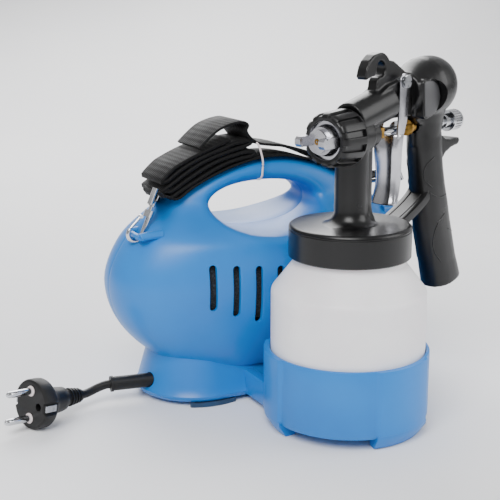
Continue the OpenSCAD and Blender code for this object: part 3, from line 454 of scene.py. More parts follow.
def body_depth_at(z):
    """Half the body's depth at a height: a bulge below that narrows to the handle."""
    bulge = BODY_DEPTH * sqrt(max(0, 1 - ((z - WIDEST_Z) / WIDEST_Z) ** 2))
    n = 2.2
    handle = HANDLE_HALF * max(0, 1 - max(0, (z - BODY_TOP + 21.5) / 21.5) ** n) ** (1 / n)
    s = ease((z - BODY_TOP + 56) / 30)
    return (1 - s) * bulge + s * handle


def body_depth(x, z):
    """Distance from the parting plane to the skin."""
    half = body_length_at(z)
    if half <= abs(x):
        return 0.0
    n = 2.3
    return body_depth_at(z) * max(0, 1 - (abs(x) / half) ** n) ** (1 / n)


def ridge(x):
    """Height of the body's top edge at x."""
    rise = max(0, 1 - (abs(x) / BODY_LENGTH) ** CROWN_POWER) ** (1 / CROWN_POWER)
    return WIDEST_Z + (BODY_TOP - WIDEST_Z) * rise


def hand_hole_edge(a):
    """Point of the hand hole's edge at an angle."""
    sizes = bpy.context.scene.sprayer_sizes
    half_l = sizes.hole_length / MM / 2
    half_h = sizes.hole_height / MM / 2
    c, s = cos(a), sin(a)
    n = 2.2
    r = 1 / ((abs(c) / half_l) ** n + (abs(s) / half_h) ** n) ** (1 / n)
    return r * c, r * s


def shell_half(side, name, stands_for):
    """One half of the body as a skin round the hand hole, then given its wall."""
    sizes = bpy.context.scene.sprayer_sizes
    hole_x, hole_z = -8.0, BODY_TOP - HANDLE_THICK - sizes.hole_height / MM / 2
    turns, skin_rows, fillet, seam, wall = 220, 34, 4.5, 0.12, 2.6

    def spot(a, r):
        """Point of the parting plane at an angle and a distance from the hole's middle."""
        return hole_x + r * cos(a), hole_z + r * sin(a)

    spokes = []
    for i in range(turns):
        a = 2 * pi * i / turns
        edge = hypot(*hand_hole_edge(a))
        low, high = edge, 260.0
        for _ in range(40):
            r = (low + high) / 2
            x, z = spot(a, r)
            if BASE_Z <= z <= BODY_TOP and abs(x) < body_length_at(z):
                low = r
            else:
                high = r
        flank = max(body_depth(*spot(a, edge + fillet)) - fillet, 2)
        spokes.append((a, edge, low, flank))

    # the hole's wall, its rounded edge, and the skin out to the parting line
    rings = []
    for w in (0.0, 0.25, 0.5, 0.75, 1.0):
        rings.append([(a, edge, seam + (flank - seam) * w) for a, edge, reach, flank in spokes])
    for t in (15, 30, 45, 60, 75, 90):
        rings.append([(a, edge + fillet * (1 - cos(radians(t))), flank + fillet * sin(radians(t)))
                      for a, edge, reach, flank in spokes])
    for k in range(1, skin_rows + 1):
        t = sin(pi / 2 * k / skin_rows) ** 0.9
        row = [(a, edge + fillet + (reach - edge - fillet) * t) for a, edge, reach, flank in spokes]
        rings.append([(a, r, max(seam, body_depth(*spot(a, r)))) for a, r in row])
    rings = [[(spot(a, r)[0], side * depth, spot(a, r)[1]) for a, r, depth in ring] for ring in rings]
    points, faces = loft(rings, caps=False)
    if side > 0:
        faces = [face[::-1] for face in faces]
    piece = make_piece(name, points, faces, "turbine", finish_of("moulded_abs"), "blue_abs", stands_for)
    modify(piece, "SOLIDIFY", thickness=wall * MM, offset=-1.0)
    return settle(piece)


def stadium_prism(cx, cz, half_w, half_h, low, high, steps=10):
    """A slot-shaped prism along Y with round ends."""
    outline = corner(cx, cz + half_h, half_w, 0, 180, steps) + corner(cx, cz - half_h, half_w, 180, 360, steps)
    return prism(outline, low, high)


class SPRAYER_OT_body(bpy.types.Operator):
    """Two moulded halves with the hand hole, ventilation slots, outlet and switch openings"""
    bl_idname = "sprayer.body"
    bl_label = "Body halves"

    def execute(self, context):
        sizes = context.scene.sprayer_sizes
        front = shell_half(-1, "body_front", ["front_shell"])
        slots = []
        for i in range(-4, 5):
            top, bottom = 100.5 + 1.5 * abs(i), 51 + 5.7 * abs(i)
            half = sizes.slot_width / MM / 2
            slots.append(stadium_prism(i * sizes.slot_pitch / MM, (top + bottom) / 2, half,
                                       (top - bottom) / 2 - half, -90, -25))
        cut(front, cutter("slot_cutter", merged(*slots)))
        bevelled(front, 0.9, 3)

        back = shell_half(1, "body_back", ["back_shell"])
        outlet_low, outlet_high = span("outlet_socket")
        bezel_low, bezel_high = span("switch_bezel")
        outlet = moved(solid_turned([(19.1, 0), (19.1, 90)]), Matrix.Translation(
            ((outlet_low.x + outlet_high.x) / 2, 20, (outlet_low.z + outlet_high.z) / 2)) @ Z_TO_Y)
        gap = 0.4
        panel = rounded_box(bezel_low.x - gap, bezel_high.x + gap, bezel_low.z - gap, bezel_high.z + gap, 2)
        cut(back, cutter("outlet_cutter", outlet),
            cutter("switch_cutter", prism(panel, bezel_high.y - 3, 90)))
        holes = [(-96, 72), (96, 72), (-82, 118), (82, 118), (-64, 142), (62, 140)]
        wells = [moved(solid_turned([(3.2, 0), (3.2, 80)], 32), Matrix.Translation((x, 14, z)) @ Z_TO_Y)
                 for x, z in holes]
        cut(back, cutter("screw_cutter", merged(*wells)))
        bevelled(back, 0.7, 2)

        for side, node in ((-1, "left"), (1, "right")):
            lug_z = 125
            lug_x = side * (body_length_at(lug_z) + 6.4)
            arm = smooth_path([(side * (abs(lug_x) - 16), 0, 1), (side * (abs(lug_x) - 8), 0, 1),
                               (lug_x - side * 1.5, 0, 0.5), (lug_x, 0, 0)], 5)
            parts = [swept([(p[0], y, p[2] + lug_z) for p in arm], [3.2, *[2.9] * (len(arm) - 2), 2.6])
                     for y in (-25, -5)]
            bar = swept([(lug_x, y, lug_z) for y in (-25.5, -20, -10, -4.5)], 2.1)
            settle(make_piece("strap_lug_" + node, *merged(*parts, bar), "turbine", finish_of("moulded_abs"),
                              "blue_abs"))
        return {"FINISHED"}


class SPRAYER_OT_base(bpy.types.Operator):
    """Flared base under the body, its floor edge rounded"""
    bl_idname = "sprayer.base"
    bl_label = "Base"

    def execute(self, context):
        low, high = span("base_tray")
        radius = (high.y - low.y) / 2
        reach = high.x - radius
        taper = 11 / 39
        levels = [(low.z, radius - 5)]
        levels += [(low.z + 4.5 * (1 - cos(radians(t))), radius - 5 + 4.4 * sin(radians(t))) for t in (30, 60, 90)]
        levels += [(z, radius - 0.2 - taper * (z - low.z)) for z in (9, 14, 20, 26, 31, 36)]
        rings = []
        for z, r in levels:
            turns = [pi * i / 32 - pi / 2 for i in range(33)]
            rings.append([(s * (reach + r * cos(a)), s * r * sin(a), z) for s in (1, -1) for a in turns])
        piece = make_piece("base_skirt", *loft(rings), "turbine", finish_of("moulded_abs"), "blue_abs",
                           ["base_tray"])
        cut(piece, cutter("gland_cutter", swept([(-60, -14.4, 14.5), (-130, -2.1, 14.5)], 5.6, 32)))
        return {"FINISHED"}


class SPRAYER_OT_holder(bpy.types.Operator):
    """Clip-on cup holder with three ribs and two tongues"""
    bl_idname = "sprayer.holder"
    bl_label = "Cup holder"

    def execute(self, context):
        back_y = span("cup_holder")[1].y
        inner = CUP_R + 0.5
        outer = inner + 2.5
        turn, arc = radians(12 - 90), radians(48)

        def rib(a):
            """1 on a rib, 0 between ribs, with soft flanks."""
            d = (a - turn + pi / 3) % (2 * pi / 3) - pi / 3
            return ease((arc / 2 - abs(d)) / radians(1.4) + 0.5)

        def shape(a, r, z):
            if z < 7.6:
                return r if rib(a) > 0.99 else min(r, outer - 2) - 0.001 * z
            return r + 1.8 * rib(a) if r > outer - 0.7 else r

        profile = [(4, 7.7), (outer - 4, 7.7), (outer - 1.2, 8.6), (outer, 11), (outer, HOLDER_H - 1)]
        profile += [(outer - 0.3, HOLDER_H - 0.3), (outer - 0.9, HOLDER_H), (inner + 0.9, HOLDER_H),
                    (inner + 0.25, HOLDER_H - 0.3), (inner, HOLDER_H - 1), (inner, 12), (inner - 1.5, 9.9),
                    (4, 9.8)]
        body = moved(turned(profile, 240, shape), Matrix.Translation((CUP_X, CUP_Y, 0)))
        parts = [body]
        for k in range(3):
            middle = turn + k * 2 * pi / 3
            rings = []
            for i in range(13):
                a = middle - arc / 2 + arc * i / 12
                section = [(inner - 8.8, 0.3), (inner - 2.4, 0.3), (inner - 1.2, 0.8), (outer + 1.5, 8.6),
                           (outer + 1.7, 11.5), (outer - 1, 11.5), (inner - 8.8, 8.4)]
                rings.append([(CUP_X + r * cos(a), CUP_Y + r * sin(a), z) for r, z in section])
            parts.append(loft(rings))
        for s in (-1, 1):
            x = CUP_X + s * 39
            y0 = CUP_Y + sqrt(outer ** 2 - 39 ** 2) - 1
            parts.append(prism(rounded_box(x - 4, x + 4, 4.3, 22, 1, 3), y0, back_y))
        piece = make_piece("cup_holder_shell", *merged(*parts), "holder", finish_of("moulded_abs"),
                           "blue_abs", ["cup_holder"])
        settle(piece, 32)
        return {"FINISHED"}


class SPRAYER_OT_cup(bpy.types.Operator):
    """Blow-moulded paint cup with its threaded neck"""
    bl_idname = "sprayer.cup"
    bl_label = "Paint cup"

    def execute(self, context):
        z0 = CUP_LOW.z
        wall = 2.0
        side = 98.0
        outline = [(3, z0 + 1.6), (CUP_R - 14, z0 + 1.6), (CUP_R - 11, z0)]
        outline += corner(CUP_R - 6, z0 + 6, 6, -80, 0, 7)
        outline += corner(CUP_R - 7, side - 5, 7, 0, 46, 7)
        outline += corner(NECK_R + 4, 116, 3.2, 226, 180, 5)
        outline += [(NECK_R - 0.1, 118.4), (NECK_R + 0.9, 119.5), (NECK_R + 0.9, 120.9), (NECK_R, 121.8),
                    (NECK_R, 123.6), (NECK_R + 0.9, 124.5), (NECK_R + 0.9, 125.9), (NECK_R, 126.8),
                    (NECK_R, GASKET_LOW.z)]
        inside = [(NECK_R - wall, GASKET_LOW.z), (NECK_R - wall, 114)]
        inside += corner(CUP_R - 7, side - 5, 5, 46, 0, 6) + corner(CUP_R - 6, z0 + 6, 4, 0, -80, 6)
        inside += [(3, z0 + 3.6)]
        piece = make_piece("cup_bottle", *turned(outline + inside, 144), "cup", finish_of("blow_moulded_hdpe"),
                           "cup_hdpe", ["paint_cup"], Matrix.Translation((CUP_X, CUP_Y, 0)))
        settle(piece, 40)
        return {"FINISHED"}


# ---- spray gun, in its own frame: +x the way it sprays, +y its left side ----
def along_x(profile, count=96, shape=None):
    """A solid turned about the spray axis, from a list of x and radius."""
    return moved(solid_turned([(r, x) for x, r in profile], count, shape), SPRAY_AXIS)


def gun_piece(name, part, stands_for=(), sharp=35):
    """A black moulded piece of the gun."""
    return settle(make_piece(name, *part, "gun", finish_of("glass_filled_nylon"), "black_nylon", stands_for, GUN),
                  sharp)


def rod(start, end, r0, r1=None, count=48):
    """A round bar in the gun's middle plane."""
    return swept([(start[0], 0, start[1]), (end[0], 0, end[1])], [r0, r0 if r1 is None else r1], count)


def fused(name, parts, body, finish, slot, stands_for, voxel, rounds):
    """Closed parts grown together into one casting, its inside corners filled and its edges softened."""
    piece = make_piece(name, *merged(*parts), body, finish_of(finish), slot, stands_for, GUN)
    modify(piece, "REMESH", mode="VOXEL", voxel_size=voxel * MM, use_smooth_shade=True)
    modify(piece, "SMOOTH", factor=0.5, iterations=rounds)
    return settle(piece, 60)


def barrel_at(x):
    """Point of the barrel's axis, which rises to the rear."""
    return x, SPRAY_Z + 9 + (8 - x) * tan(radians(13.5))


class SPRAYER_OT_gun_body(bpy.types.Operator):
    """Gun casting with lid, neck, barrel, hanging hook and waist"""
    bl_idname = "sprayer.gun_body"
    bl_label = "Gun body"

    def execute(self, context):
        lid_r, top = 41.0, 140.0
        lid = [(NECK_R + 1.4, 118.3), (lid_r - 0.6, 118.3), (lid_r, 119), (lid_r, 136.4), (lid_r - 0.5, 136.9),
               (lid_r - 0.5, 137.5), (lid_r, 138), (lid_r - 0.2, 138.9), (lid_r - 1.3, top - 0.1),
               (lid_r - 2.4, top), (21, top), (12, top), (12, 133.2), (NECK_R + 1.4, 133.2)]
        gun_piece("gun_lid", turned(lid, 144), ["gun_head"], 40)

        neck = [(4, top - 3), (22.5, top - 3), (22.5, top - 0.4)]
        neck += [(20.2 - 9.2 * sin(radians(t)), top + 9 - 9.2 * cos(radians(t)))
                 for t in (5, 20, 35, 50, 65, 80, 90)]
        neck += [(11, 170), (11, SPRAY_Z), (4, SPRAY_Z + 1)]
        rear = solid_turned([(4, top - 2), (12, top - 2), (11.5, top + 2), (9.6, top + 7), (9, top + 12),
                             (9, SPRAY_Z), (4, SPRAY_Z)], 64)
        hook = corner(-25, 240, 10.8, 92, 150, 6) + [(-40, 244.5), (-57, 235), (-57, 222), (-20, 224), (-21.4, 232)]
        hook += corner(-25, 240, 5.4, -62, -305, 18)[1:]
        hook += [(-19, 236), (-14, 235.2), (-9.4, 233.6), (-8, 236), (-9.2, 241), (-12.6, 246), (-18, 249.6)]
        parts = [solid_turned(neck, 96), moved(rear, Matrix.Translation((-8, 0, 0))),
                 rod(barrel_at(-36), barrel_at(3.5), 12.2, 12.0),
                 along_x([(-21, 9), (-21, 9.2), (5.8, 9.2), (5.8, 9)]),
                 along_x([(-10, 12.5), (-9.5, 13), (5.5, 13), (6, 12.8)]),
                 prism([(0, SPRAY_Z - 14), (6, SPRAY_Z), (0, 215), (-30, 229), (-57, 235), (-57, SPRAY_Z + 9),
                        (-21, SPRAY_Z + 9), (-13, SPRAY_Z - 9)], -7.6, 7.6),
                 prism(hook, -4, 4)]
        fused("gun_casting", parts, "gun", "glass_filled_nylon", "black_nylon", ["gun_head"], 0.7, 4)
        thread = [(6 + i * 0.18, 12.9 if i % 8 < 4 else 12.3) for i in range(34)]
        gun_piece("gun_nose", along_x([(5.5, 12.6)] + thread + [(12, 12.2), (12, 8)]))

        # handle: dome, waist, raked grip, thumb rest and its hose mouth
        grip = []
        stations = [(-85.2, 192, 14.2, 10.6), (-86, 180, 14.2, 10.8), (-88.6, 166, 14.0, 11.0),
                    (-91.6, 152, 14.4, 11.4), (-95.6, 138, 15.2, 11.6), (-99.4, 124, 15.6, 11.6),
                    (-104, 110, 15.6, 11.8), (-108.6, 96, 15.6, 12.0), (-112.4, 86, 16, 12.6),
                    (-114.8, 79.5, 16.2, 12.9)]
        tilt, count = radians(14), 40
        for x, z, a, b in stations:
            ring = []
            for i in range(count):
                t = 2 * pi * i / count
                u = a * (abs(cos(t)) ** 0.85) * (1 if cos(t) > 0 else -1)
                v = b * (abs(sin(t)) ** 0.85) * (1 if sin(t) > 0 else -1)
                lean = tilt * min(1, max(0, (192 - z) / 60))
                ring.append((x + u * cos(lean), v, z - u * sin(lean)))
            grip.append(ring)
        dome = []
        for k in range(15):
            t = k / 14
            x = -57.5 - 50.5 * t
            lift = 222.5 + 3.5 * t
            size = 13.2 + 8.0 * ease(t / 0.45)
            round_off = sqrt(max(0.0, 1 - max(0, (t - 0.52) / 0.48) ** 2.4))
            size *= max(round_off, 0.06)
            dome.append([(x, size * cos(2 * pi * i / count), lift + size * 1.02 * sin(2 * pi * i / count))
                         for i in range(count)])
        neck_block = solid_turned([(4, 184), (11.2, 184), (12.4, 200), (15, 212), (16, 222), (4, 224)], 48)
        parts = [loft(grip), loft(dome),
                 moved(neck_block, Matrix.Translation((-85, 0, 0)) @ Matrix.Diagonal((1.25, 0.92, 1, 1))),
                 prism([(-57, 208), (-57, 233), (-76, 238), (-76, 198), (-68, 200)], -7.6, 7.6),
                 prism([(-98, 170), (-104, 176.5), (-112, 179.6), (-121, 181), (-122.6, 183.4), (-121.4, 186),
                        (-112, 185.2), (-104, 186.2), (-98, 190)], -7, 7)]

        facet = corner(-67.5, 218.5, 13.2, 88, 250, 14)
        facet += [(-64.5, 204.2), (-60.8, 205.4), (-58.9, 229.4), (-60.8, 231.6)]
        parts.append(prism(facet, -15.1, 15.1))
        handle = fused("gun_grip", parts, "gun", "glass_filled_nylon", "black_nylon", ["gun_handle"], 0.8, 5)
        flats = merged(prism(facet, 15.1, 30), prism(facet, -30, -15.1))
        cut(handle, cutter("facet_cutter", flats, GUN))
        # the hose mouth, and the holes for the knob, the needle guide and the needle with its spring
        mouth = cutter("mouth_cutter", swept([(-117.2, 0, 72), (-111, 0, 104)], 9.5, 48), GUN)
        holes = [cutter(name + "_cutter", along_x([(start, r), (end, r)], 32), GUN)
                 for name, start, end, r in (("knob", -125, -98, 5.2), ("guide", -63.4, -40, 6.6),
                                             ("bore", -112, -58, 4.8))]
        cut(handle, mouth, *holes)
        inlay = corner(-67.6, 218.5, 11.9, 88, 250, 14)
        inlay += [(-64.9, 205.9), (-62, 206.8), (-60.3, 228.8), (-61.6, 230.3)]
        # the inlay is black nylon; its paler grey colour is a painted highlight of the light on the flat facet
        plate = make_piece("grip_inlay", *merged(prism(inlay, 14, 15.6), prism(inlay, -15.6, -14)), "gun",
                           finish_of("nylon_painted_highlight"), "black_nylon", (), GUN)
        bevelled(plate, 0.4, 2, 40)

        # moulded lines on both sides of the grip
        tree = BVHTree.FromObject(handle, context.evaluated_depsgraph_get())
        curves = [[(-98, 133), (-92, 128), (-89.5, 118), (-92, 106), (-98, 97)],
                  [(-83, 176), (-78, 172), (-76.5, 166), (-78, 159), (-83, 154)],
                  [(-82, 150), (-90, 146), (-101, 147)],
                  [(-104, 164), (-108, 150), (-110, 138), (-114, 128), (-121, 120)],
                  [(-104, 121), (-112, 118), (-121, 116)]]
        beads = []
        for side in (1, -1):
            for curve in curves:
                line = []
                for p in smooth_path([(x, 0, z) for x, z in curve], 6):
                    start = GUN @ Vector((p.x, side * 30, p.z)) * MM
                    end = GUN @ Vector((p.x, 0, p.z)) * MM
                    hit = tree.ray_cast(start, (end - start).normalized(), 0.03)
                    if hit[0] is not None:
                        line.append(GUN.inverted() @ (hit[0] / MM))
                if len(line) > 5:
                    beads.append(swept([tuple(p) for p in line], 0.42, 10))
        gun_piece("grip_lines", merged(*beads))

        # brace from the lid to the grip, with two grooves along its top
        path = smooth_path([(-38.5, 0, 131), (-48, 0, 132.6), (-60, 0, 137), (-72, 0, 142.4), (-81, 0, 148.2),
                            (-85.5, 0, 155), (-86.5, 0, 163)], 6)
        rings = []
        for k, p in enumerate(path):
            d = (path[min(k + 1, len(path) - 1)] - path[max(k - 1, 0)]).normalized()
            n = Vector((-d.z, 0, d.x))
            n = n if n.z > 0 or n.x > 0 else -n
            section = [(-8.7, -3), (8.7, -3), (8.9, 0), (8.7, 2.6), (8.0, 3), (5.2, 3), (4.6, 2), (4.0, 3),
                       (-4.0, 3), (-4.6, 2), (-5.2, 3), (-8.0, 3), (-8.7, 2.6), (-8.9, 0)]
            rings.append([tuple(p + Vector((0, y, 0)) + n * h) for y, h in section])
        gun_piece("gun_brace", loft(rings), (), 40)
        return {"FINISHED"}


class SPRAYER_OT_nozzle(bpy.types.Operator):
    """Ribbed collar nut round the air cap"""
    bl_idname = "sprayer.nozzle"
    bl_label = "Collar nut"

    def execute(self, context):
        def shape(a, r, x):
            """Twelve grip ribs on the outside."""
            if r < 14.4:
                return r
            d = abs((a + pi / 12) % (pi / 6) - pi / 12)
            rib = ease((radians(8.2) - d) / radians(1.6) + 0.5)
            depth = 1.9 if x < 26.6 else 1.2
            return r - depth * (1 - rib) if 9.3 < x < 29 else r

        profile = [(7, 13.2), (7, 17.6), (7.6, 18.6), (9.2, 18.8), (9.4, 18.8), (12, 18.7), (16, 18.4),
                   (20, 18.1), (24, 17.8), (26.4, 17.6), (27.4, 17.2), (28.6, 16.6), (28.9, 16.2), (29.5, 15.2),
                   (29.5, 13), (29.2, 12.6), (27.4, 12.6), (27.4, 13.9), (18.6, 13.9), (18.6, 13.2)]
        ring = moved(turned([(r, x) for x, r in profile], 288, shape), SPRAY_AXIS)
        piece = make_piece("collar_ring", *ring, "collar", finish_of("glass_filled_nylon"), "black_nylon",
                           ["collar_nut"], GUN)
        settle(piece, 40)
        return {"FINISHED"}


class SPRAYER_OT_trigger(bpy.types.Operator):
    """Pressed trigger: two side plates and a flared finger pad"""
    bl_idname = "sprayer.trigger"
    bl_label = "Trigger"

    def execute(self, context):
        inside, thick = 8.3, 1.5
        outline = corner(-45, 231, 5.4, 200, -20, 14)
        outline += [(-39.2, 222), (-39, 208), (-38.2, 196), (-38.4, 190), (-43, 190), (-45.6, 196), (-48.6, 204),
                    (-50, 216)]
        parts = [prism(outline, *sorted((s * inside, s * (inside + thick)))) for s in (1, -1)]
        # two pins that draw the needle back
        at = Matrix.Translation((-47.7, 0, SPRAY_Z)) @ Matrix.Rotation(pi / 2, 4, "X")
        parts += [moved(solid_turned([(1.5, low), (1.5, high)], 24), at)
                  for low, high in ((-inside + 0.2, -3.9), (3.9, inside - 0.2))]
        plates = make_piece("trigger_plates", *merged(*parts), "trigger", finish_of("cast_zinc"), "chrome",
                            ["trigger"], GUN)
        bevelled(plates, 0.35, 2)
        # front of the pad and half its width and depth at each height
        stations = [(196, -38.4, 9.7, 6.0), (192, -37.8, 9.7, 5.6), (187, -36.8, 9.5, 6.0), (180, -37.2, 8.9, 6.2),
                    (172, -38.2, 8.2, 6.2), (164, -38.4, 7.9, 6.0), (157, -37.6, 8.2, 5.6), (152, -36.2, 8.8, 4.6),
                    (149, -34.9, 9.2, 3.2), (147.6, -34.6, 9.0, 1.6)]
        rings = []
        for z, front, half, deep in stations:
            ring = []
            for i in range(25):
                t = -1 + 2 * i / 24
                y = half * max(-1, min(1, t * 1.45))
                over = max(0, abs(t) * 1.45 - 1) / 0.45
                bulge = 1.3 * (1 - (y / half) ** 2)
                soft = 1.0 * ease((abs(y) / half - 0.72) / 0.28)
                ring.append((front + bulge - soft - deep * over, y, z))
            rings.append(ring)
        pad = make_piece("trigger_pad", *loft(rings, closed=False, caps=False), "trigger",
                         finish_of("cast_zinc"), "chrome", (), GUN)
        modify(pad, "SOLIDIFY", thickness=1.3 * MM, offset=0.0)
        modify(pad, "SUBSURF", levels=2, render_levels=2)
        settle(pad, 60)
        return {"FINISHED"}


# ---- soft goods ----
class SPRAYER_OT_cord(bpy.types.Operator):
    """Mains cord from the base, through its sleeve, to the moulded plug"""
    bl_idname = "sprayer.cord"
    bl_label = "Mains cord"

    def execute(self, context):
        heading, rise = radians(202), radians(8)
        tail = Vector((-149, -5.8, 11.5))
        ahead = Vector((cos(rise) * cos(heading), cos(rise) * sin(heading), sin(rise)))
        route = [Vector(p) for p in ((-91, -9, 14.5), (-100, -7.4, 14.5), (-109, -5.8, 14.5), (-117, -4.4, 14.5),
                                     (-125.5, -2.9, 14.5), (-130, -2.3, 14.1), (-135, -2.2, 12.9),
                                     (-139.5, -2.7, 11.7), (-143.2, -3.7, 11.1))] + [tail - 3 * ahead, tail]
        path = smooth_path(route, 3)
        curve = bpy.data.curves.new("mains_cord", "CURVE")
        curve.dimensions = "3D"
        curve.bevel_depth = 3.1 * MM
        curve.bevel_resolution = 5
        curve.use_fill_caps = True
        spline = curve.splines.new("POLY")
        spline.points.add(len(path) - 1)
        for point, p in zip(spline.points, path):
            point.co = (*(p * MM), 1)
        curve.materials.append(finish_of("soft_pvc"))
        cord = bpy.data.objects.new("mains_cord", curve)
        context.scene.collection.objects.link(cord)
        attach(cord, "turbine")
        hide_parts("power_cord")

        plug = Matrix.Translation(tail) @ Matrix.Rotation(heading, 4, "Z") @ Matrix.Rotation(-rise, 4, "Y")
        plug_r, plug_l = 17.2, 45.0

        def shape(a, r, x):
            """Two earth-contact channels and a flattened waist for the fingers."""
            if r > 15 and x > 30:
                d = abs(a % pi - pi / 2)
                return r - 2.4 if d < radians(14) else r
            if 18 < x < 32:
                return r * (1 - 0.12 * abs(cos(a)) ** 4)
            return r

        profile = [(3.2, 0), (4.4, 0.4)]
        for k in range(4):
            x = 2.2 + 2.7 * k
            r = 5.3 + 0.4 * k
            profile += [(r - 0.9, x), (r, x + 0.25), (r, x + 1.35), (r - 0.9, x + 1.6)]
        profile += [(5.8, 13), (6.4, 15), (8.2, 17), (9.6, 21), (10.2, 26), (11.4, 29.5), (14, 32.4), (16.4, 34.4),
                    (17.0, 35.6), (plug_r, 37), (plug_r, plug_l - 2), (plug_r - 0.5, plug_l - 0.7),
                    (plug_r - 1.6, plug_l), (15.2, plug_l), (4, plug_l)]
        shell = moved(solid_turned(profile, 96, shape), plug @ Z_TO_X)
        body = make_piece("plug_shell", *shell, "turbine", finish_of("soft_pvc"), "black_pvc", ["plug_body"])
        cut(body, cutter("socket_cutter", moved(solid_turned([(2.7, plug_l - 8), (2.7, plug_l + 4)], 32),
                                                plug @ Matrix.Translation((0, 8.5, 0)) @ Z_TO_X)))
        pins, collars = [], []
        for s in (-1, 1):
            at = plug @ Matrix.Translation((0, 0, s * 9.5)) @ Z_TO_X
            pins.append(moved(solid_turned([(2.3, plug_l - 2), (2.4, plug_l + 6), (2.4, plug_l + 17),
                                            (2.1, plug_l + 18.9), (1.3, plug_l + 20.1), (0.2, plug_l + 20.4)],
                                           32), at))
            collars.append(moved(solid_turned([(3.6, plug_l - 1), (3.6, plug_l + 0.5), (3.2, plug_l + 0.9),
                                               (2.4, plug_l + 0.9)], 32), at))
        pin_piece = settle(make_piece("plug_contacts", *merged(*pins), "turbine", finish_of("chrome_plate"), "brass",
                                      ["plug_pins"]))
        rings = settle(make_piece("pin_collars", *merged(*collars), "turbine", finish_of("tie_plastic"),
                                  "black_pvc"))
        clips = []
        for s in (-1, 1):
            strip = [(plug_l - 10, s * 14.6, w) for w in (-2.2, 2.2)]
            strip += [(plug_l - 1, s * 14.9, w) for w in (2.2, -2.2)]
            clip = loft([[(x, y, z) for x, y, z in strip], [(x, y + s * 0.9, z) for x, y, z in strip]])
            clips.append(moved(clip, plug))
        earth = settle(make_piece("earth_clips", *merged(*clips), "turbine", finish_of("turned_steel"), "brass"))
        return {"FINISHED"}


def band(name, path, width, thick, stands_for, twist=None):
    """Webbing along a path in XZ, lying across Y, with rounded selvedges; twist(k) turns it and moves it in Y."""
    rings = []
    for k, p in enumerate(path):
        d = (path[min(k + 1, len(path) - 1)] - path[max(k - 1, 0)]).normalized()
        across = Vector((0, 1, 0))
        if twist:
            turn, shift = twist(k / (len(path) - 1))
            across = Matrix.Rotation(turn, 3, "Z") @ across
            p = p + Vector((0, shift, 0))
        n = d.cross(across).normalized()
        across = n.cross(d).normalized()
        h, w = thick / 2, width / 2
        section = [(-w + h, -h), (0, -h), (w - h, -h), (w - 0.3 * h, -0.7 * h), (w, 0), (w - 0.3 * h, 0.7 * h),
                   (w - h, h), (0, h), (-w + h, h), (-w + 0.3 * h, 0.7 * h), (-w, 0), (-w + 0.3 * h, -0.7 * h)]
        rings.append([tuple(p + across * y + n * z) for y, z in section])
    piece = make_piece(name, *loft(rings), "turbine", finish_of("woven_webbing"), "webbing", stands_for)
    settle(piece, 50)
    length = sum((b - a).length for a, b in zip(path, path[1:]))
    return piece, length


class SPRAYER_OT_strap(bpy.types.Operator):
    """Shoulder strap: laid along the handle, its spare length folded and held by the tie"""
    bl_idname = "sprayer.strap"
    bl_label = "Strap and tie"

    def execute(self, context):
        sizes = context.scene.sprayer_sizes
        width, thick = sizes.strap_width / MM, 1.7

        def over(x, lift):
            """Point above the ridge, square to it."""
            slope = ridge(x + 0.5) - ridge(x - 0.5)
            n = Vector((-slope, 0, 1)).normalized()
            return Vector((x, 0, ridge(x))) + n * lift

        # under run from the left loop, over the handle, to the right loop
        run = [Vector((-94.5, 0, 150.5)), Vector((-92, 0, 153.2)), Vector((-86, 0, 151.6))]
        run += [over(x, 2.0) for x in (-76, -66, -56, -44, -30, -12, 8, 28, 46, 60, 70)]
        run += [Vector((79, 0, 146.8)), Vector((86, 0, 151.6)), Vector((92, 0, 153.2)), Vector((94.5, 0, 150.5))]
        path = smooth_path(run, 5)

        def swing(t):
            """Both ends turn with their loops and lie in front of the middle."""
            left, right = ease((0.16 - t) / 0.16), ease((t - 0.84) / 0.16)
            return radians(-30) * left + radians(30) * right, -15 * (left + right)

        under, length = band("strap_under", path, width, thick, ["strap_runs"], swing)

        # spare length in long folds on the left of the handle
        rows = [(5.0, -79, -17), (9.2, -76, -22), (13.4, -81, -18), (17.2, -75, -26), (21.0, -69, -30)]
        folds = []
        for row, (lift, left_end, right_end) in enumerate(rows):
            xs = [left_end + (right_end - left_end) * i / 7 for i in range(8)]
            if row % 2:
                xs.reverse()
            folds += [over(x, lift + 0.5 * sin(x * 0.13 + row)) for x in xs]
            if row < len(rows) - 1:
                folds.append(over(left_end - 2.6, lift + 2.0) if row % 2 else over(right_end + 2.4, lift + 2.1))
        stack, stack_length = band("strap_folds", smooth_path(folds, 4), width - 1, 2.9, ["strap_bundle"])

        # one loose turn that rises beside the tie, and the end that runs on to the right
        crown = [over(x, lift) for x, lift in (
            (-50, 24.6), (-44, 27.4), (-36, 30.6), (-28, 31.4), (-20, 30.6), (-16.4, 27.4), (-18, 23.6), (-16, 18),
            (-11.4, 13), (-4, 10.4), (6, 9), (18, 7.6), (32, 6.2), (46, 5), (56, 4.4))]
        top, top_length = band("strap_crown", smooth_path(crown, 5), width, 2.0, ["strap_bundle"])

        # twist tie round handle and strap
        half = 22.6
        hole_top = BODY_TOP - HANDLE_THICK
        loop = [(-12, -half, 160), (-11.6, -half - 0.6, 169), (-12.6, -half - 0.2, 176),
                (-14, -half + 2.4, 182.6), (-15, -12, 185.6), (-15, 0, 186.4), (-14.6, 12, 185.4),
                (-13.4, half - 2, 182), (-12.4, half + 0.2, 172), (-12, half, 160),
                (-12, half - 4, hole_top - 1.4), (-12, 8, hole_top - 2), (-12, -8, hole_top - 2),
                (-12, -half + 4, hole_top - 1.4), (-12, -half, 160)]
        settle(make_piece("tie_loop", *swept(smooth_path(loop, 8), 0.75, 12), "turbine", finish_of("tie_plastic"),
                          "tie_plastic", ["twist_tie"]))
        return {"FINISHED"}


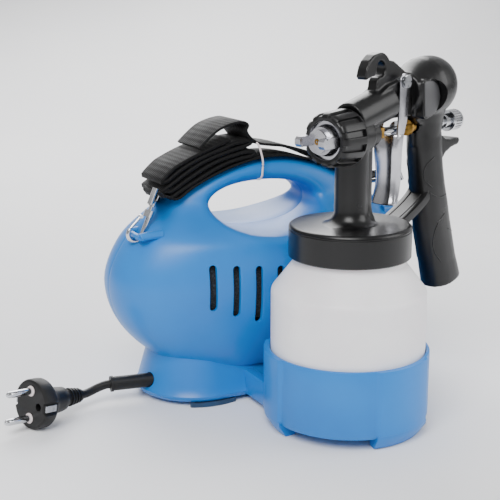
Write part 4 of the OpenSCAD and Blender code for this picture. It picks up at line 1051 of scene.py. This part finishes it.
class SPRAYER_OT_finish_nodes(bpy.types.Operator):
    """Gives the pieces that keep their CAD shape the finish of the real ones"""
    bl_idname = "sprayer.finish_nodes"
    bl_label = "Finishes of kept pieces"

    def execute(self, context):
        for finish, nodes in NODE_FINISH.items():
            for node in nodes:
                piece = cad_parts[node]
                if not piece.material_slots:
                    raise RuntimeError(node + " has no material slot")
                for place in piece.material_slots:
                    place.material = finish_of(finish)
        return {"FINISHED"}


class SPRAYER_OT_stage(bpy.types.Operator):
    """Pale floor, soft studio light and the camera"""
    bl_idname = "sprayer.stage"
    bl_label = "Studio"

    def execute(self, context):
        scene = context.scene
        camera = bpy.data.cameras.new("studio_camera")
        camera.sensor_width = 36.0
        camera.lens = LENS
        view = bpy.data.objects.new("studio_camera", camera)
        view.location = (-0.3804, -0.6969, 0.29225)
        view.rotation_euler = (radians(76.31), 0, radians(VIEW_TURN))
        scene.collection.objects.link(view)
        scene.camera = view

        sweep = [(-3000, 0), (900, 0)]
        sweep += [(900 + 900 * sin(radians(t)), 900 * (1 - cos(radians(t)))) for t in range(6, 91, 6)]
        turn = Matrix.Rotation(radians(VIEW_TURN), 4, "Z")
        rings = [[tuple(turn @ Vector((x, y, z))) for y, z in sweep + [(1800, 3000)]] for x in (-4000, 4000)]
        floor = make_piece("studio_floor", *loft(rings, closed=False, caps=False), None,
                           finish_of("painted_floor"), None)
        floor.data.shade_smooth()
        world = bpy.data.worlds.new("studio")
        world.use_nodes = True
        tree = world.node_tree
        tree.nodes["Background"].inputs["Color"].default_value = to_linear("#ffffff")
        tree.nodes["Background"].inputs["Strength"].default_value = 0.5
        seen = add_node(tree, "ShaderNodeBackground", {"Color": to_linear("#ffffff"), "Strength": 1.25})
        rays = add_node(tree, "ShaderNodeLightPath")
        pick = add_node(tree, "ShaderNodeMixShader", {"Fac": rays.outputs["Is Camera Ray"],
                                                      1: tree.nodes["Background"].outputs["Background"],
                                                      2: seen.outputs["Background"]})
        tree.links.new(pick.outputs["Shader"], tree.nodes["World Output"].inputs["Surface"])
        scene.world = world
        lights = [("key", (-0.8, -0.9, 1.2), 0.9, 27), ("fill", (1.0, -0.8, 0.7), 0.9, 9),
                  ("rim", (0.3, 1.1, 1.0), 1.2, 26)]
        for name, place, size, power in lights:
            light = bpy.data.lights.new("studio_" + name, "AREA")
            light.size = size
            light.energy = power
            lamp = bpy.data.objects.new("studio_" + name, light)
            lamp.location = place
            lamp.rotation_euler = (Vector((0, -0.03, 0.1)) - Vector(place)).to_track_quat("-Z", "Y").to_euler()
            scene.collection.objects.link(lamp)
        return {"FINISHED"}


# ---- what a user may change ----
class SprayerSizes(bpy.types.PropertyGroup):
    """Sizes of the turbine's visible features"""
    hole_length: bpy.props.FloatProperty(
        name="Hand hole length", description="Length of the hole under the handle", default=0.092,
        unit="LENGTH", subtype="DISTANCE")
    hole_height: bpy.props.FloatProperty(
        name="Hand hole height", description="Height of the hole under the handle", default=0.040,
        unit="LENGTH", subtype="DISTANCE")
    slot_pitch: bpy.props.FloatProperty(
        name="Slot pitch", description="Distance from one ventilation slot to the next", default=0.0165,
        unit="LENGTH", subtype="DISTANCE")
    slot_width: bpy.props.FloatProperty(
        name="Slot width", description="Width of a ventilation slot", default=0.0054,
        unit="LENGTH", subtype="DISTANCE")
    strap_width: bpy.props.FloatProperty(
        name="Strap width", description="Width of the strap's webbing", default=0.038,
        unit="LENGTH", subtype="DISTANCE")


class SprayerLook(bpy.types.PropertyGroup):
    """Colours of the main finishes, as sRGB hex"""
    abs_dark: bpy.props.StringProperty(
        name="Housing, darker", description="Darker patches of the blue housing", default="#0a6fbe")
    abs_light: bpy.props.StringProperty(
        name="Housing, lighter", description="Lighter patches of the blue housing", default="#1078c8")
    nylon_dark: bpy.props.StringProperty(
        name="Gun, darker", description="Darker patches of the black gun", default="#050506")
    nylon_light: bpy.props.StringProperty(
        name="Gun, lighter", description="Lighter patches of the black gun", default="#0a0a0b")


STEPS = (SPRAYER_OT_stage, SPRAYER_OT_cord, SPRAYER_OT_body, SPRAYER_OT_base, SPRAYER_OT_holder, SPRAYER_OT_cup,
         SPRAYER_OT_gun_body, SPRAYER_OT_nozzle, SPRAYER_OT_trigger, SPRAYER_OT_strap, SPRAYER_OT_finish_nodes)


class SPRAYER_PT_panel(bpy.types.Panel):
    """Lists the sprayer's sizes, colours and pieces"""
    bl_idname = "SPRAYER_PT_panel"
    bl_label = "Paint sprayer"
    bl_space_type = "VIEW_3D"
    bl_region_type = "UI"
    bl_category = "Sprayer"

    def draw(self, context):
        for group in (context.scene.sprayer_sizes, context.scene.sprayer_look):
            for key in group.bl_rna.properties.keys():
                if key not in ("rna_type", "name"):
                    self.layout.prop(group, key)
        for step in STEPS:
            self.layout.operator(step.bl_idname)


CLASSES = (SprayerSizes, SprayerLook, *STEPS, SPRAYER_PT_panel)


def register():
    for one in CLASSES:
        bpy.utils.register_class(one)
    bpy.types.Scene.sprayer_sizes = bpy.props.PointerProperty(type=SprayerSizes)
    bpy.types.Scene.sprayer_look = bpy.props.PointerProperty(type=SprayerLook)


def unregister():
    del bpy.types.Scene.sprayer_look
    del bpy.types.Scene.sprayer_sizes
    for one in reversed(CLASSES):
        bpy.utils.unregister_class(one)


def main():
    register()
    for step in STEPS:
        group, name = step.bl_idname.split(".")
        getattr(getattr(bpy.ops, group), name)()


if __name__ == "__main__":
    main()
